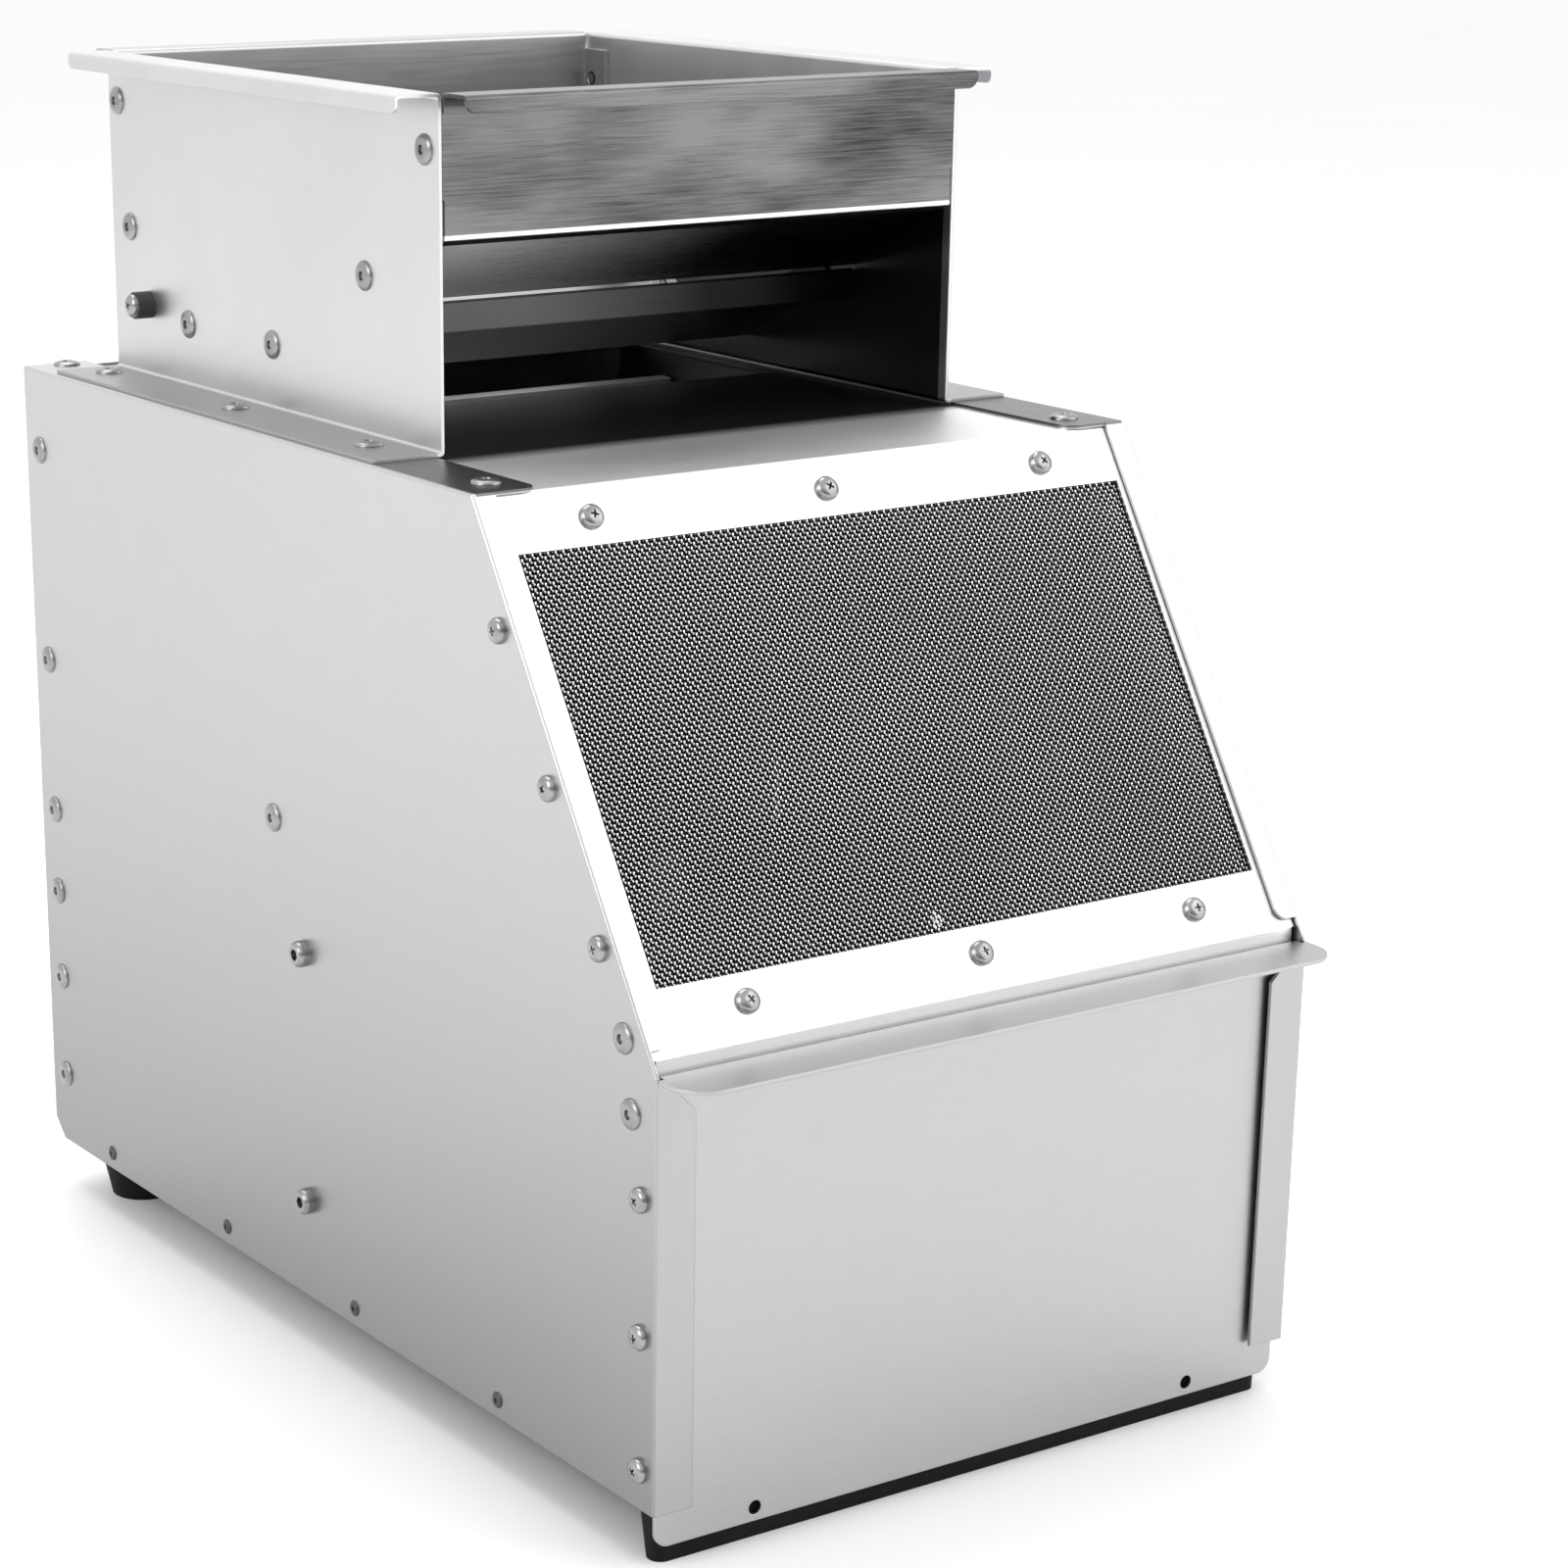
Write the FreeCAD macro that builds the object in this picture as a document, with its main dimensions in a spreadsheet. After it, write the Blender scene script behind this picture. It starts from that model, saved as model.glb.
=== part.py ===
"""Bench-top grape crusher destemmer in folded stainless sheet.

Axes of the machine: X to the right, Y to the back, Z up. While the pieces are drawn, Y = 0 is the outside of the
front flanges and Z = 0 is the underside of the casing; each piece's Placement then lifts it onto its feet and
centres it front to back. Lengths are millimetres and angles are degrees.
"""

import FreeCAD
import Part

import math
import os
import re

import Sketcher
from FreeCAD import Placement, Rotation, Vector

os.makedirs("parts", exist_ok=True)
doc = FreeCAD.newDocument("GrapeCrusherDestemmer")
sheet = doc.addObject("Spreadsheet::Sheet", "Sizes")

SIZES = [
    # casing
    ("sheet", 1.2),
    ("play", 0.3),
    ("casing_width", 250),
    ("casing_depth", 400),
    ("knee_height", 136.2),
    ("slant_depth", 98),
    ("deck_height", 288.5),
    ("rear_clip", 7),
    ("front_flange", 14),
    ("front_flange_top", 134.7),
    ("slant_flange", 8.3),
    ("slant_flange_start", 8.5),
    ("top_flange", 24),
    ("rear_flange", 18),
    ("bend_radius", 2),
    # hopper
    ("hopper_width", 198),
    ("hopper_front", 157.5),
    ("hopper_rear", 377),
    ("hopper_rise", 109),
    ("hopper_foot", 24),
    ("rim_side", 15),
    ("rim_front", 13),
    ("rim_lip", 5.5),
    ("front_bend_rise", 65.3),
    ("front_slope", 25.2),
    ("front_slope_length", 58.5),
    ("rear_bend_rise", 52.5),
    ("rear_slope", 34.8),
    ("rear_slope_length", 74),
    ("chute_front", 209),
    ("chute_length", 68),
    ("chute_lip", 9),
    ("hopper_gap", 0.8),
    # front gate
    ("gate_set_back", 2.7),
    ("gate_half_width", 122.5),
    ("gate_drop", 12),
    ("lip_depth", 17),
    ("lip_half_width", 124.5),
    ("lip_corner", 12),
    ("gate_hole_x", 86),
    ("gate_hole_radius", 2.3),
    # slanted mesh panel
    ("panel_set_back", 1.5),
    ("panel_start", 5.8),
    ("window_low", 26.3),
    ("window_high", 161.5),
    ("window_half", 114.7),
    ("cloth_thick", 0.8),
    # feet
    ("foot_height", 18.5),
    ("foot_bar_half", 120),
    ("foot_bar_top", 13),
    ("foot_bar_bottom", 8.5),
    ("rear_foot_radius", 16),
    ("rear_foot_tip", 12),
    ("rear_foot_x", 103),
    ("rear_foot_y", 372),
    # crusher rollers
    ("roller_radius", 20),
    ("roller_gap", 6),
    ("roller_mid_y", 293.5),
    ("roller_z", 258),
    ("roller_shaft_radius", 5),
    ("bush_radius", 8),
    ("running", 0.05),
    ("flute_radius", 3.5),
    ("gear_teeth", 23),
    ("gear_width", 8),
    # destemming cage and beater
    ("beater_y", 204.5),
    ("beater_z", 78),
    ("bolt_half_pitch", 43.2),
    ("beater_shaft_radius", 8),
    ("cage_radius", 58),
    ("cage_hole_radius", 8),
    ("cage_mouth_half", 38),
    ("ring_radius", 66),
    ("paddle_reach", 52),
    ("paddle_width", 16),
    ("hub_radius", 12),
    ("bearing_thick", 8),
    ("stem_half_width", 46),
    ("stem_half_height", 33),
    # drive
    ("drive_wall_x", 95.2),
    ("drive_wall_thick", 2),
    ("motor_y", 335),
    ("motor_z", 62),
    ("motor_radius", 40),
    ("motor_length", 130),
    ("motor_shaft_radius", 6),
    ("motor_pulley_radius", 15),
    ("beater_pulley_radius", 36),
    ("small_pulley_radius", 14),
    ("roller_pulley_radius", 20),
    ("belt_thick", 2.5),
    ("belt_width", 6),
    # fasteners
    ("screw_head_radius", 4),
    ("screw_head_rise", 2.6),
    ("screw_radius", 2),
    ("rivet_head_radius", 4.75),
    ("rivet_head_rise", 1.5),
    ("pan_rivet_head_radius", 2.7),
    ("pan_rivet_head_rise", 0.8),
    ("rivet_radius", 2.4),
    ("bolt_head_radius", 4.4),
    ("bolt_head_rise", 3.8),
    # rear switch and cable gland
    ("switch_x", 70),
    ("switch_z", 232),
    ("switch_half_width", 10.8),
    ("switch_half_height", 13.8),
    ("rocker_tilt", 7),
    ("gland_x", 30),
    ("gland_radius", 8),
    ("gland_out", 8),
]
NAMES = {name for name, _ in SIZES}
for row, (name, size) in enumerate(SIZES, start=1):
    sheet.set(f"A{row}", name)
    sheet.set(f"B{row}", str(size))
    sheet.setAlias(f"B{row}", name)
doc.recompute()


def bound(text):
    """An expression with each size name turned into its cell of the sheet."""
    return re.sub(r"[a-z_]+", lambda m: f"Sizes.{m[0]}" if m[0] in NAMES else m[0], str(text))


def amount(text):
    """The number that an expression on the sizes has now."""
    return float(getattr(sheet.evalExpression(bound(text)), "Value", sheet.evalExpression(bound(text))))


# Lengths that several pieces share, worked out from the sizes.
HALF = "(casing_width/2)"
INNER = "(casing_width/2-sheet)"
SLANT = "atan2(deck_height-knee_height; slant_depth)"
SLANT_LENGTH = "hypot(deck_height-knee_height; slant_depth)"
RIM = "(deck_height+hopper_rise)"
HOPPER_HALF = "(hopper_width/2)"
FRONT_BEND = "(deck_height+front_bend_rise)"
REAR_BEND = "(deck_height+rear_bend_rise)"
GATE_BACK = "(gate_set_back+sheet)"
PANEL_OUT = "(-panel_set_back)"
PANEL_IN = "(-panel_set_back-sheet)"
CENTRE_Y = "((casing_depth+gland_out-lip_depth)/2)"
FRONT_ROLLER_Y = "(roller_mid_y-roller_radius-roller_gap/2)"
REAR_ROLLER_Y = "(roller_mid_y+roller_radius+roller_gap/2)"
ROLLER_HALF = "(drive_wall_x-2)"
PLATE_X = "(drive_wall_x+drive_wall_thick)"
CAGE_OUT = "(cage_radius+sheet)"
CAGE_END = "(casing_width/2-sheet-bearing_thick-2)"
BELT_X = "(casing_width/2-sheet-bearing_thick-1)"
BELT_TWO_X = "(casing_width/2-sheet-bearing_thick-3-belt_width)"


def on_slant(along, out=0):
    """Y and Z of a point on the slanted front: `along` up the slope from the knee, `out` in front of it."""
    return (
        f"(({along})*cos({SLANT})-({out})*sin({SLANT}))",
        f"(knee_height+({along})*sin({SLANT})+({out})*cos({SLANT}))",
    )


# Fastener places, as (Y, Z) on a side panel.
SLANT_SCREWS = [on_slant(along, -7.7) for along in ("42.5", "91.9", "141.3")]
GATE_SCREWS = [("7.5", "12.5"), ("7.5", "55"), ("7.5", "97.7")]
KNEE_RIVETS = [("16.8", "144.2"), ("12.8", "122.4")]
REAR_RIVETS = [("(casing_depth-10.5)", z) for z in ("26.5", "64.5", "97.6", "128.4", "184.2", "260")]
PAN_RIVETS = [("86.3", "6"), ("175.2", "6"), ("264", "6"), ("353", "6")]
TIE_RIVET = [("223", "163")]
BEARING_BOLTS = [("beater_y", f"(beater_z{sign}bolt_half_pitch)") for sign in "-+"]
FRONT_HOPPER_RIVETS = [("165.6", "380.4"), ("202.8", "338.9")]
CHUTE_RIVETS = [("263.8", "310.2")]
REAR_HOPPER_RIVETS = [("371", "381"), ("364.2", "338.9"), ("322.7", "310.1")]
STOP_SCREW = [("351.4", "313.6")]
FOOT_RIVETS = [(f"({HALF}-15)", y) for y in ("182.7", "270.2", "362.5")]
FLANGE_RIVETS = [(f"({HALF}-14)", y) for y in ("112", "(casing_depth-6)")]
PANEL_SCREWS = [(x, along) for along in ("17.6", "170.4") for x in ("-86", "0.8", "86")]
CORNERS = [(a, b) for a in (-1, 1) for b in (-1, 1)]
STANDOFFS = [(f"(beater_y+({a})*ring_radius*0.66)", f"(beater_z+({b})*ring_radius*0.66)") for a, b in CORNERS]
MOTOR_SCREWS = [(f"(motor_y+({a})*motor_radius*0.6)", f"(motor_z+({b})*motor_radius*0.6)") for a, b in CORNERS]
FOOT_BAR_Y = f"({GATE_BACK}+play+0.4+foot_bar_top/2)"
BAR_SCREWS = [(x, FOOT_BAR_Y) for x in ("(-foot_bar_half+14)", "0", "(foot_bar_half-14)")]
FOOT_SCREWS = BAR_SCREWS + [("(-rear_foot_x)", "rear_foot_y"), ("rear_foot_x", "rear_foot_y")]


def place(piece, y="0", z="0"):
    """Lifts a piece onto the feet and centres the machine front to back."""
    piece.setExpression("Placement.Base.y", bound(f"{y}-{CENTRE_Y}"))
    piece.setExpression("Placement.Base.z", bound(f"{z}+foot_height"))


finished = []


def finish(part, label, y="0", z="0"):
    """Labels and places a piece, and lists it for the files."""
    part.Label = label
    place(part, y, z)
    finished.append(part)
    return part


def new_body(label):
    return finish(doc.addObject("PartDesign::Body", label), label)


def new_sketch(body, plane, start):
    """A sketch on one of the body's own planes, `start` along +X, +Y or +Z, or out of the slanted front."""
    role = {"YZ": "YZ_Plane", "XZ": "XZ_Plane", "XY": "XY_Plane", "slant": "XY_Plane"}[plane]
    sketch = body.newObject("Sketcher::SketchObject", f"{body.Name}_outline")
    sketch.AttachmentSupport = ([f for f in body.Origin.OriginFeatures if f.Role == role][0], "")
    sketch.MapMode = "FlatFace"
    if plane == "slant":
        sketch.AttachmentOffset = Placement(Vector(), Rotation(Vector(1, 0, 0), 45))
        sketch.setExpression("AttachmentOffset.Rotation.Angle", bound(SLANT))
        y, z = on_slant("0", start)
        sketch.setExpression("AttachmentOffset.Base.y", bound(y))
        sketch.setExpression("AttachmentOffset.Base.z", bound(z))
    else:
        sketch.setExpression("AttachmentOffset.Base.z", bound(f"-({start})" if plane == "XZ" else start))
    return sketch


def fix_point(sketch, geometry, point, u, v):
    for kind, text in (("DistanceX", u), ("DistanceY", v)):
        index = sketch.addConstraint(Sketcher.Constraint(kind, -1, 1, geometry, point, amount(text)))
        sketch.setExpression(f"Constraints[{index}]", bound(text))


def draw_polygon(sketch, corners):
    first = sketch.GeometryCount
    count = len(corners)
    spots = [Vector(amount(u), amount(v), 0) for u, v in corners]
    for n in range(count):
        sketch.addGeometry(Part.LineSegment(spots[n], spots[(n + 1) % count]), False)
    for n in range(count):
        sketch.addConstraint(Sketcher.Constraint("Coincident", first + n, 2, first + (n + 1) % count, 1))
    for n, (u, v) in enumerate(corners):
        fix_point(sketch, first + n, 1, u, v)


def draw_circles(sketch, centres, radius):
    for u, v in centres:
        circle = Part.Circle(Vector(amount(u), amount(v), 0), Vector(0, 0, 1), amount(radius))
        index = sketch.addGeometry(circle, False)
        fix_point(sketch, index, 3, u, v)
        size = sketch.addConstraint(Sketcher.Constraint("Radius", index, amount(radius)))
        sketch.setExpression(f"Constraints[{size}]", bound(radius))


def rectangle(u0, u1, v0, v1):
    return [(u0, v0), (u1, v0), (u1, v1), (u0, v1)]


def extrude(body, kind, plane, start, length, polygons=(), circles=(), radius="1"):
    """A pad, or a pocket, from `start` on along the plane's positive direction."""
    sketch = new_sketch(body, plane, start)
    for corners in polygons:
        draw_polygon(sketch, corners)
    draw_circles(sketch, circles, radius)
    before = body.Shape.Volume if body.Tip else 0
    feature = body.newObject(f"PartDesign::{kind}", f"{body.Name}_{kind}")
    feature.Profile = sketch
    feature.setExpression("Length", bound(length))
    feature.Reversed = (plane == "XZ") == (kind == "Pad")
    doc.recompute()
    if kind == "Pocket" and not feature.Shape.Volume < before - 1e-6:
        raise ValueError(f"{body.Label}: a pocket on {plane} at {start} cuts nothing")
    return feature


def pad(body, plane, start, length, *polygons, circles=(), radius="1"):
    return extrude(body, "Pad", plane, start, length, polygons, circles, radius)


def pocket(body, plane, start, length, *polygons, circles=(), radius="1"):
    return extrude(body, "Pocket", plane, start, length, polygons, circles, radius)


def side_span(side, near, far):
    """Start and length along X of something `near` to `far` from the middle, on side -1 or 1."""
    return (f"({near})" if side > 0 else f"(-({far}))"), f"(({far})-({near}))"


def mirrored(side, corners):
    return [(f"({side})*({u})", v) for u, v in corners]


def round_edges(body, spots, radius, kind="Fillet"):
    """Rounds the edge whose middle is nearest to each spot (X, Y, Z)."""
    base = body.Tip
    shape = base.Shape
    names = []
    for spot in spots:
        target = Vector(*[amount(v) for v in spot])
        near = min(range(len(shape.Edges)), key=lambda n: (shape.Edges[n].CenterOfMass - target).Length)
        names.append(f"Edge{near + 1}")
    feature = body.newObject(f"PartDesign::{kind}", f"{body.Name}_{kind}")
    feature.Base = (base, names)
    feature.setExpression("Radius" if kind == "Fillet" else "Size", bound(radius))
    doc.recompute()
    return feature


def strip(y, z, angle, length, thick, start="0"):
    """The section of a sloping plate: from (Y, Z) at `angle`, `thick` to its left."""
    def at(along, side):
        return (
            f"({y}+({along})*cos({angle})-({side})*sin({angle}))",
            f"({z}+({along})*sin({angle})+({side})*cos({angle}))",
        )
    return [at(start, "0"), at(length, "0"), at(length, thick), at(start, thick)]


# ---------------------------------------------------------------- casing sheets


def side_panel(label, side):
    """Side wall with its flanges folded over the front, the slanted front and the top."""
    body = new_body(label)
    wall = [
        ("0", "0"),
        ("0", "knee_height"),
        ("slant_depth", "deck_height"),
        ("casing_depth", "deck_height"),
        ("casing_depth", "rear_clip"),
        ("(casing_depth-rear_clip)", "0"),
    ]
    pad(body, "YZ", *side_span(side, INNER, HALF), wall)
    front = [
        (HALF, "0"),
        (HALF, "front_flange_top"),
        (f"({HALF}-4)", "front_flange_top"),
        (f"({HALF}-front_flange)", "(front_flange_top-front_flange+4)"),
        (f"({HALF}-front_flange)", "0"),
    ]
    pad(body, "XZ", "0", "sheet", mirrored(side, front))
    slope = strip("0", "knee_height", SLANT, SLANT_LENGTH, "(-sheet)", "slant_flange_start")
    pad(body, "YZ", *side_span(side, f"{HALF}-slant_flange", HALF), slope)
    top = rectangle(f"({HALF}-top_flange)", HALF, "slant_depth", "casing_depth")
    pad(body, "XY", "(deck_height-sheet)", "sheet", mirrored(side, top))
    edge = f"{side}*({HALF})"
    inner = f"{side}*({HALF}-top_flange)"
    lip = on_slant("slant_flange_start", "-sheet/2")
    round_edges(body, [(inner, "slant_depth", "(deck_height-sheet/2)")], "6")
    round_edges(body, [(f"{side}*({HALF}-slant_flange)", *lip)], "4")
    round_edges(body, [
        (edge, "0", "(front_flange_top/2)"),
        (edge, "((slant_depth+casing_depth)/2)", "deck_height"),
        (edge, *on_slant(f"({SLANT_LENGTH}/2)")),
    ], "sheet*0.8")
    wall_holes = [
        (SLANT_SCREWS + GATE_SCREWS, "screw_radius+running"),
        (KNEE_RIVETS + REAR_RIVETS + PAN_RIVETS + (TIE_RIVET if side < 0 else []), "rivet_radius+running"),
        (BEARING_BOLTS, "2.5+running"),
    ]
    for centres, radius in wall_holes:
        pocket(body, "YZ", *side_span(side, f"{INNER}-0.1", f"{HALF}+0.1"), circles=centres, radius=radius)
    flange_holes = [(f"({side}*{x})", y) for x, y in FOOT_RIVETS + FLANGE_RIVETS]
    pocket(body, "XY", "deck_height-sheet-0.1", "sheet+0.2", circles=flange_holes, radius="rivet_radius+running")
    if side > 0:
        outlet = rectangle("(beater_y-stem_half_width)", "(beater_y+stem_half_width)",
                           "(beater_z-stem_half_height)", "(beater_z+stem_half_height)")
        pocket(body, "YZ", *side_span(side, f"{INNER}-0.1", f"{HALF}+0.1"), outlet)
        corners = [(f"({HALF}-sheet/2)", f"(beater_y{a}stem_half_width)", f"(beater_z{b}stem_half_height)")
                   for a in "-+" for b in "-+"]
        round_edges(body, corners, "8")
        pocket(body, "YZ", *side_span(side, f"{INNER}-0.1", f"{HALF}+0.1"), circles=STANDOFFS,
               radius="screw_radius+running")
    return body


side_panel("left_side_panel", -1)
side_panel("right_side_panel", 1)


def deck_plate():
    """Top of the casing: lies under the top flanges, open below the hopper throat."""
    body = new_body("deck_plate")
    half = f"({INNER}-play)"
    front = f"({on_slant(SLANT_LENGTH, '-panel_set_back')[0]}+play+0.6)"
    pad(body, "XY", "(deck_height-2*sheet)", "sheet",
        rectangle(f"(-{half})", half, front, "(casing_depth-sheet-play)"))
    start = f"({SLANT_LENGTH}-17)"
    tongue = strip(*on_slant("0", PANEL_IN), SLANT, SLANT_LENGTH, "(-sheet)", start)
    pad(body, "YZ", f"(-{half}+10)", f"(2*{half}-20)", tongue)
    throat = rectangle("(-drive_wall_x+1)", "(drive_wall_x-1)", "(roller_mid_y-42)", "(roller_mid_y+44)")
    pocket(body, "XY", "(deck_height-2*sheet-0.1)", "sheet+0.2", throat)
    rivets = [(f"({s}*{x})", y) for x, y in FOOT_RIVETS + FLANGE_RIVETS for s in (-1, 1)]
    pocket(body, "XY", "deck_height-2*sheet-0.1", "sheet+0.2", circles=rivets, radius="rivet_radius+running")
    pocket(body, "slant", "(-panel_set_back-2*sheet-0.1)", "sheet+0.2", circles=PANEL_SCREWS[3:],
           radius="screw_radius+running")


deck_plate()


def rear_panel():
    """Back wall with forward side flanges, vent slots, and openings for the switch and the cable gland."""
    body = new_body("rear_panel")
    half = f"({INNER}-0.1)"
    low = "(rear_clip+1)"
    high = "(deck_height-2*sheet-play)"
    pad(body, "XZ", "(casing_depth-sheet)", "sheet", rectangle(f"(-{half})", half, low, high))
    for side in (-1, 1):
        wing = rectangle(f"(casing_depth-rear_flange)", "casing_depth", low, high)
        pad(body, "YZ", *side_span(side, f"{half}-sheet", half), wing)
        pocket(body, "YZ", *side_span(side, f"{half}-sheet-0.1", f"{half}+0.1"), circles=REAR_RIVETS,
               radius="rivet_radius+running")
    slots = [rectangle("-70", "-10", f"(motor_z-24+{n}*12)", f"(motor_z-19+{n}*12)") for n in range(5)]
    slots += [rectangle("10", "70", f"(motor_z-24+{n}*12)", f"(motor_z-19+{n}*12)") for n in range(5)]
    pocket(body, "XZ", "(casing_depth-sheet-0.1)", "sheet+0.2", *slots)
    pocket(body, "XZ", "(casing_depth-sheet-0.1)", "sheet+0.2",
           rectangle("(switch_x-switch_half_width-0.1)", "(switch_x+switch_half_width+0.1)",
                     "(switch_z-switch_half_height-0.1)", "(switch_z+switch_half_height+0.1)"))
    pocket(body, "XZ", "(casing_depth-sheet-0.1)", "sheet+0.2", circles=[("gland_x", "switch_z")],
           radius="gland_radius+running")


rear_panel()


def base_pan():
    """Bottom of the casing, a flat plate with upturned sides and a hole for each foot screw."""
    body = new_body("base_pan")
    half = f"({INNER}-0.1)"
    pad(body, "XY", "0", "sheet", rectangle(f"(-{half})", half, "6", "(casing_depth-sheet-8)"))
    for side in (-1, 1):
        wing = rectangle("24", "(casing_depth-rear_flange-2)", "0", "11")
        pad(body, "YZ", *side_span(side, f"{half}-sheet", half), wing)
        pocket(body, "YZ", *side_span(side, f"{half}-sheet-0.1", f"{half}+0.1"), circles=PAN_RIVETS,
               radius="rivet_radius+running")
    pocket(body, "XY", "(-0.1)", "sheet+0.2", circles=FOOT_SCREWS, radius="screw_radius+running")


base_pan()


def must_tray():
    """Sloping tray below the cage that runs the must to the gate."""
    body = new_body("must_tray")
    run = "(roller_mid_y-14-26)"
    slope = "2.6"
    pad(body, "YZ", "(-drive_wall_x+play)", f"(drive_wall_x+{INNER}-2*sheet-0.4-2*play)",
        strip("26", "(sheet+play)", slope, f"({run}/cos({slope}))", "sheet"))
    back = "(26+roller_mid_y-14-26)"
    pad(body, "YZ", "(-drive_wall_x+play)", f"(drive_wall_x+{INNER}-2*sheet-0.4-2*play)",
        rectangle(f"({back}-sheet)", back, "(sheet+play)", "(sheet+play+22)"))


must_tray()


def motor_bulkhead():
    """Wall between the wet side and the motor."""
    body = new_body("motor_bulkhead")
    y = "(roller_mid_y-10)"
    pad(body, "XZ", y, "sheet",
        rectangle("(-drive_wall_x+play)", f"({INNER}-sheet-2*play)", "(sheet+play)", "164"))
    pad(body, "XY", "sheet", "sheet", rectangle("(-drive_wall_x+play)", f"({INNER}-18)", y, f"({y}+12)"))


motor_bulkhead()


def knee_rail():
    """Cross rail behind the top of the gate: carries the lower edge of the mesh panel."""
    body = new_body("knee_rail")
    half = f"({INNER}-0.1)"
    low_y, low_z = on_slant("8", f"({PANEL_IN})")
    pad(body, "YZ", f"(-{half})", f"(2*{half})", strip(*on_slant("0", f"({PANEL_IN})"), SLANT, "23", "(-sheet)", "8"))
    web = [(f"({low_y}+0.2)", f"({low_z}+0.2)"), (f"({low_y}+0.2)", "118"), (f"({low_y}+0.2+sheet)", "118"),
           (f"({low_y}+0.2+sheet)", f"({low_z}+0.9)")]
    pad(body, "YZ", f"(-{half})", f"(2*{half})", web)
    for side in (-1, 1):
        tab = [(f"({low_y}+0.2)", "118"), (f"({low_y}+0.2)", f"({low_z}+0.2)"), on_slant("20", f"({PANEL_IN}-0.4)"),
               ("24", "146"), ("24", "118")]
        pad(body, "YZ", *side_span(side, f"{half}-sheet", half), tab)
        pocket(body, "YZ", *side_span(side, f"{half}-sheet-0.1", f"{half}+0.1"), circles=KNEE_RIVETS,
               radius="rivet_radius+running")
    pocket(body, "slant", f"({PANEL_IN}-sheet-0.1)", "sheet+0.2", circles=PANEL_SCREWS[:3],
           radius="screw_radius+running")


knee_rail()


def gate_guide(label, side):
    """Angle strip behind one edge of the gate, screwed to the side panel."""
    body = new_body(label)
    out = f"({INNER}-0.1)"
    face = f"({GATE_BACK}+play+0.1)"
    leg = mirrored(side, rectangle(f"({INNER}-20)", out, "2", "116"))
    pad(body, "XZ", face, "sheet", leg)
    pad(body, "YZ", *side_span(side, f"{out}-sheet", out), rectangle(face, "17", "2", "116"))
    pocket(body, "YZ", *side_span(side, f"{out}-sheet-0.1", f"{out}+0.1"), circles=GATE_SCREWS,
           radius="screw_radius+running")


gate_guide("left_gate_guide", -1)
gate_guide("right_gate_guide", 1)


def gate():
    """Sliding front plate: hangs by its folded pull lip on the front flanges and lifts straight up."""
    body = new_body("gate")
    top = "(front_flange_top+play+sheet)"
    pad(body, "XZ", "gate_set_back", "sheet",
        rectangle("(-gate_half_width)", "gate_half_width", "(-gate_drop)", top))
    lip = [
        ("(-lip_half_width)", "(-lip_depth)"),
        ("lip_half_width", "(-lip_depth)"),
        ("lip_half_width", "(-play)"),
        ("gate_half_width", "(-play)"),
        ("gate_half_width", GATE_BACK),
        ("(-gate_half_width)", GATE_BACK),
        ("(-gate_half_width)", "(-play)"),
        ("(-lip_half_width)", "(-play)"),
    ]
    pad(body, "XY", f"({top}-sheet)", "sheet", lip)
    middle = f"({top}-sheet/2)"
    round_edges(body, [(f"({s}*lip_half_width)", "(-lip_depth)", middle) for s in (-1, 1)], "lip_corner")
    round_edges(body, [(f"({s}*gate_half_width)", "(gate_set_back+sheet/2)", "(-gate_drop)") for s in (-1, 1)], "5")
    round_edges(body, [("0", GATE_BACK, top)], "bend_radius")
    round_edges(body, [("0", "gate_set_back", f"({top}-sheet)")], "(bend_radius-sheet)")
    pocket(body, "XZ", "(gate_set_back-0.1)", "sheet+0.2",
           circles=[("(-gate_hole_x)", "(-gate_drop+4.4)"), ("gate_hole_x", "(-gate_drop+4.4)")],
           radius="gate_hole_radius")


gate()

# ---------------------------------------------------------------- slanted mesh panel


def mesh_panel_frame():
    """Slanted frame under the side flanges, with a window for the wire cloth and a folded lower edge."""
    body = new_body("mesh_panel_frame")
    half = f"({INNER}-0.5)"
    end = f"({SLANT_LENGTH}-0.8)"
    pad(body, "slant", PANEL_IN, "sheet", rectangle(f"(-{half})", half, "panel_start", end))
    low_y, low_z = on_slant("panel_start", PANEL_OUT)
    edge = [(low_y, low_z), (low_y, "130"), (f"({low_y}+sheet)", "130"), (f"({low_y}+sheet)", f"({low_z}+1.2)")]
    pad(body, "YZ", f"(-{half}+1)", f"(2*{half}-2)", edge)
    pocket(body, "slant", f"({PANEL_IN}-0.1)", "sheet+0.2",
           rectangle("(-window_half)", "window_half", "window_low", "window_high"))
    pocket(body, "slant", f"({PANEL_IN}-0.1)", "sheet+0.2", circles=PANEL_SCREWS, radius="screw_radius+running")


mesh_panel_frame()


def wire_cloth():
    """Woven wire cloth, as one thin sheet."""
    body = new_body("wire_cloth")
    pad(body, "slant", f"({PANEL_IN}-cloth_thick)", "cloth_thick",
        rectangle("(-window_half-4)", "(window_half+4)", "(window_low-2.6)", "(window_high+2.4)"))


wire_cloth()


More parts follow.
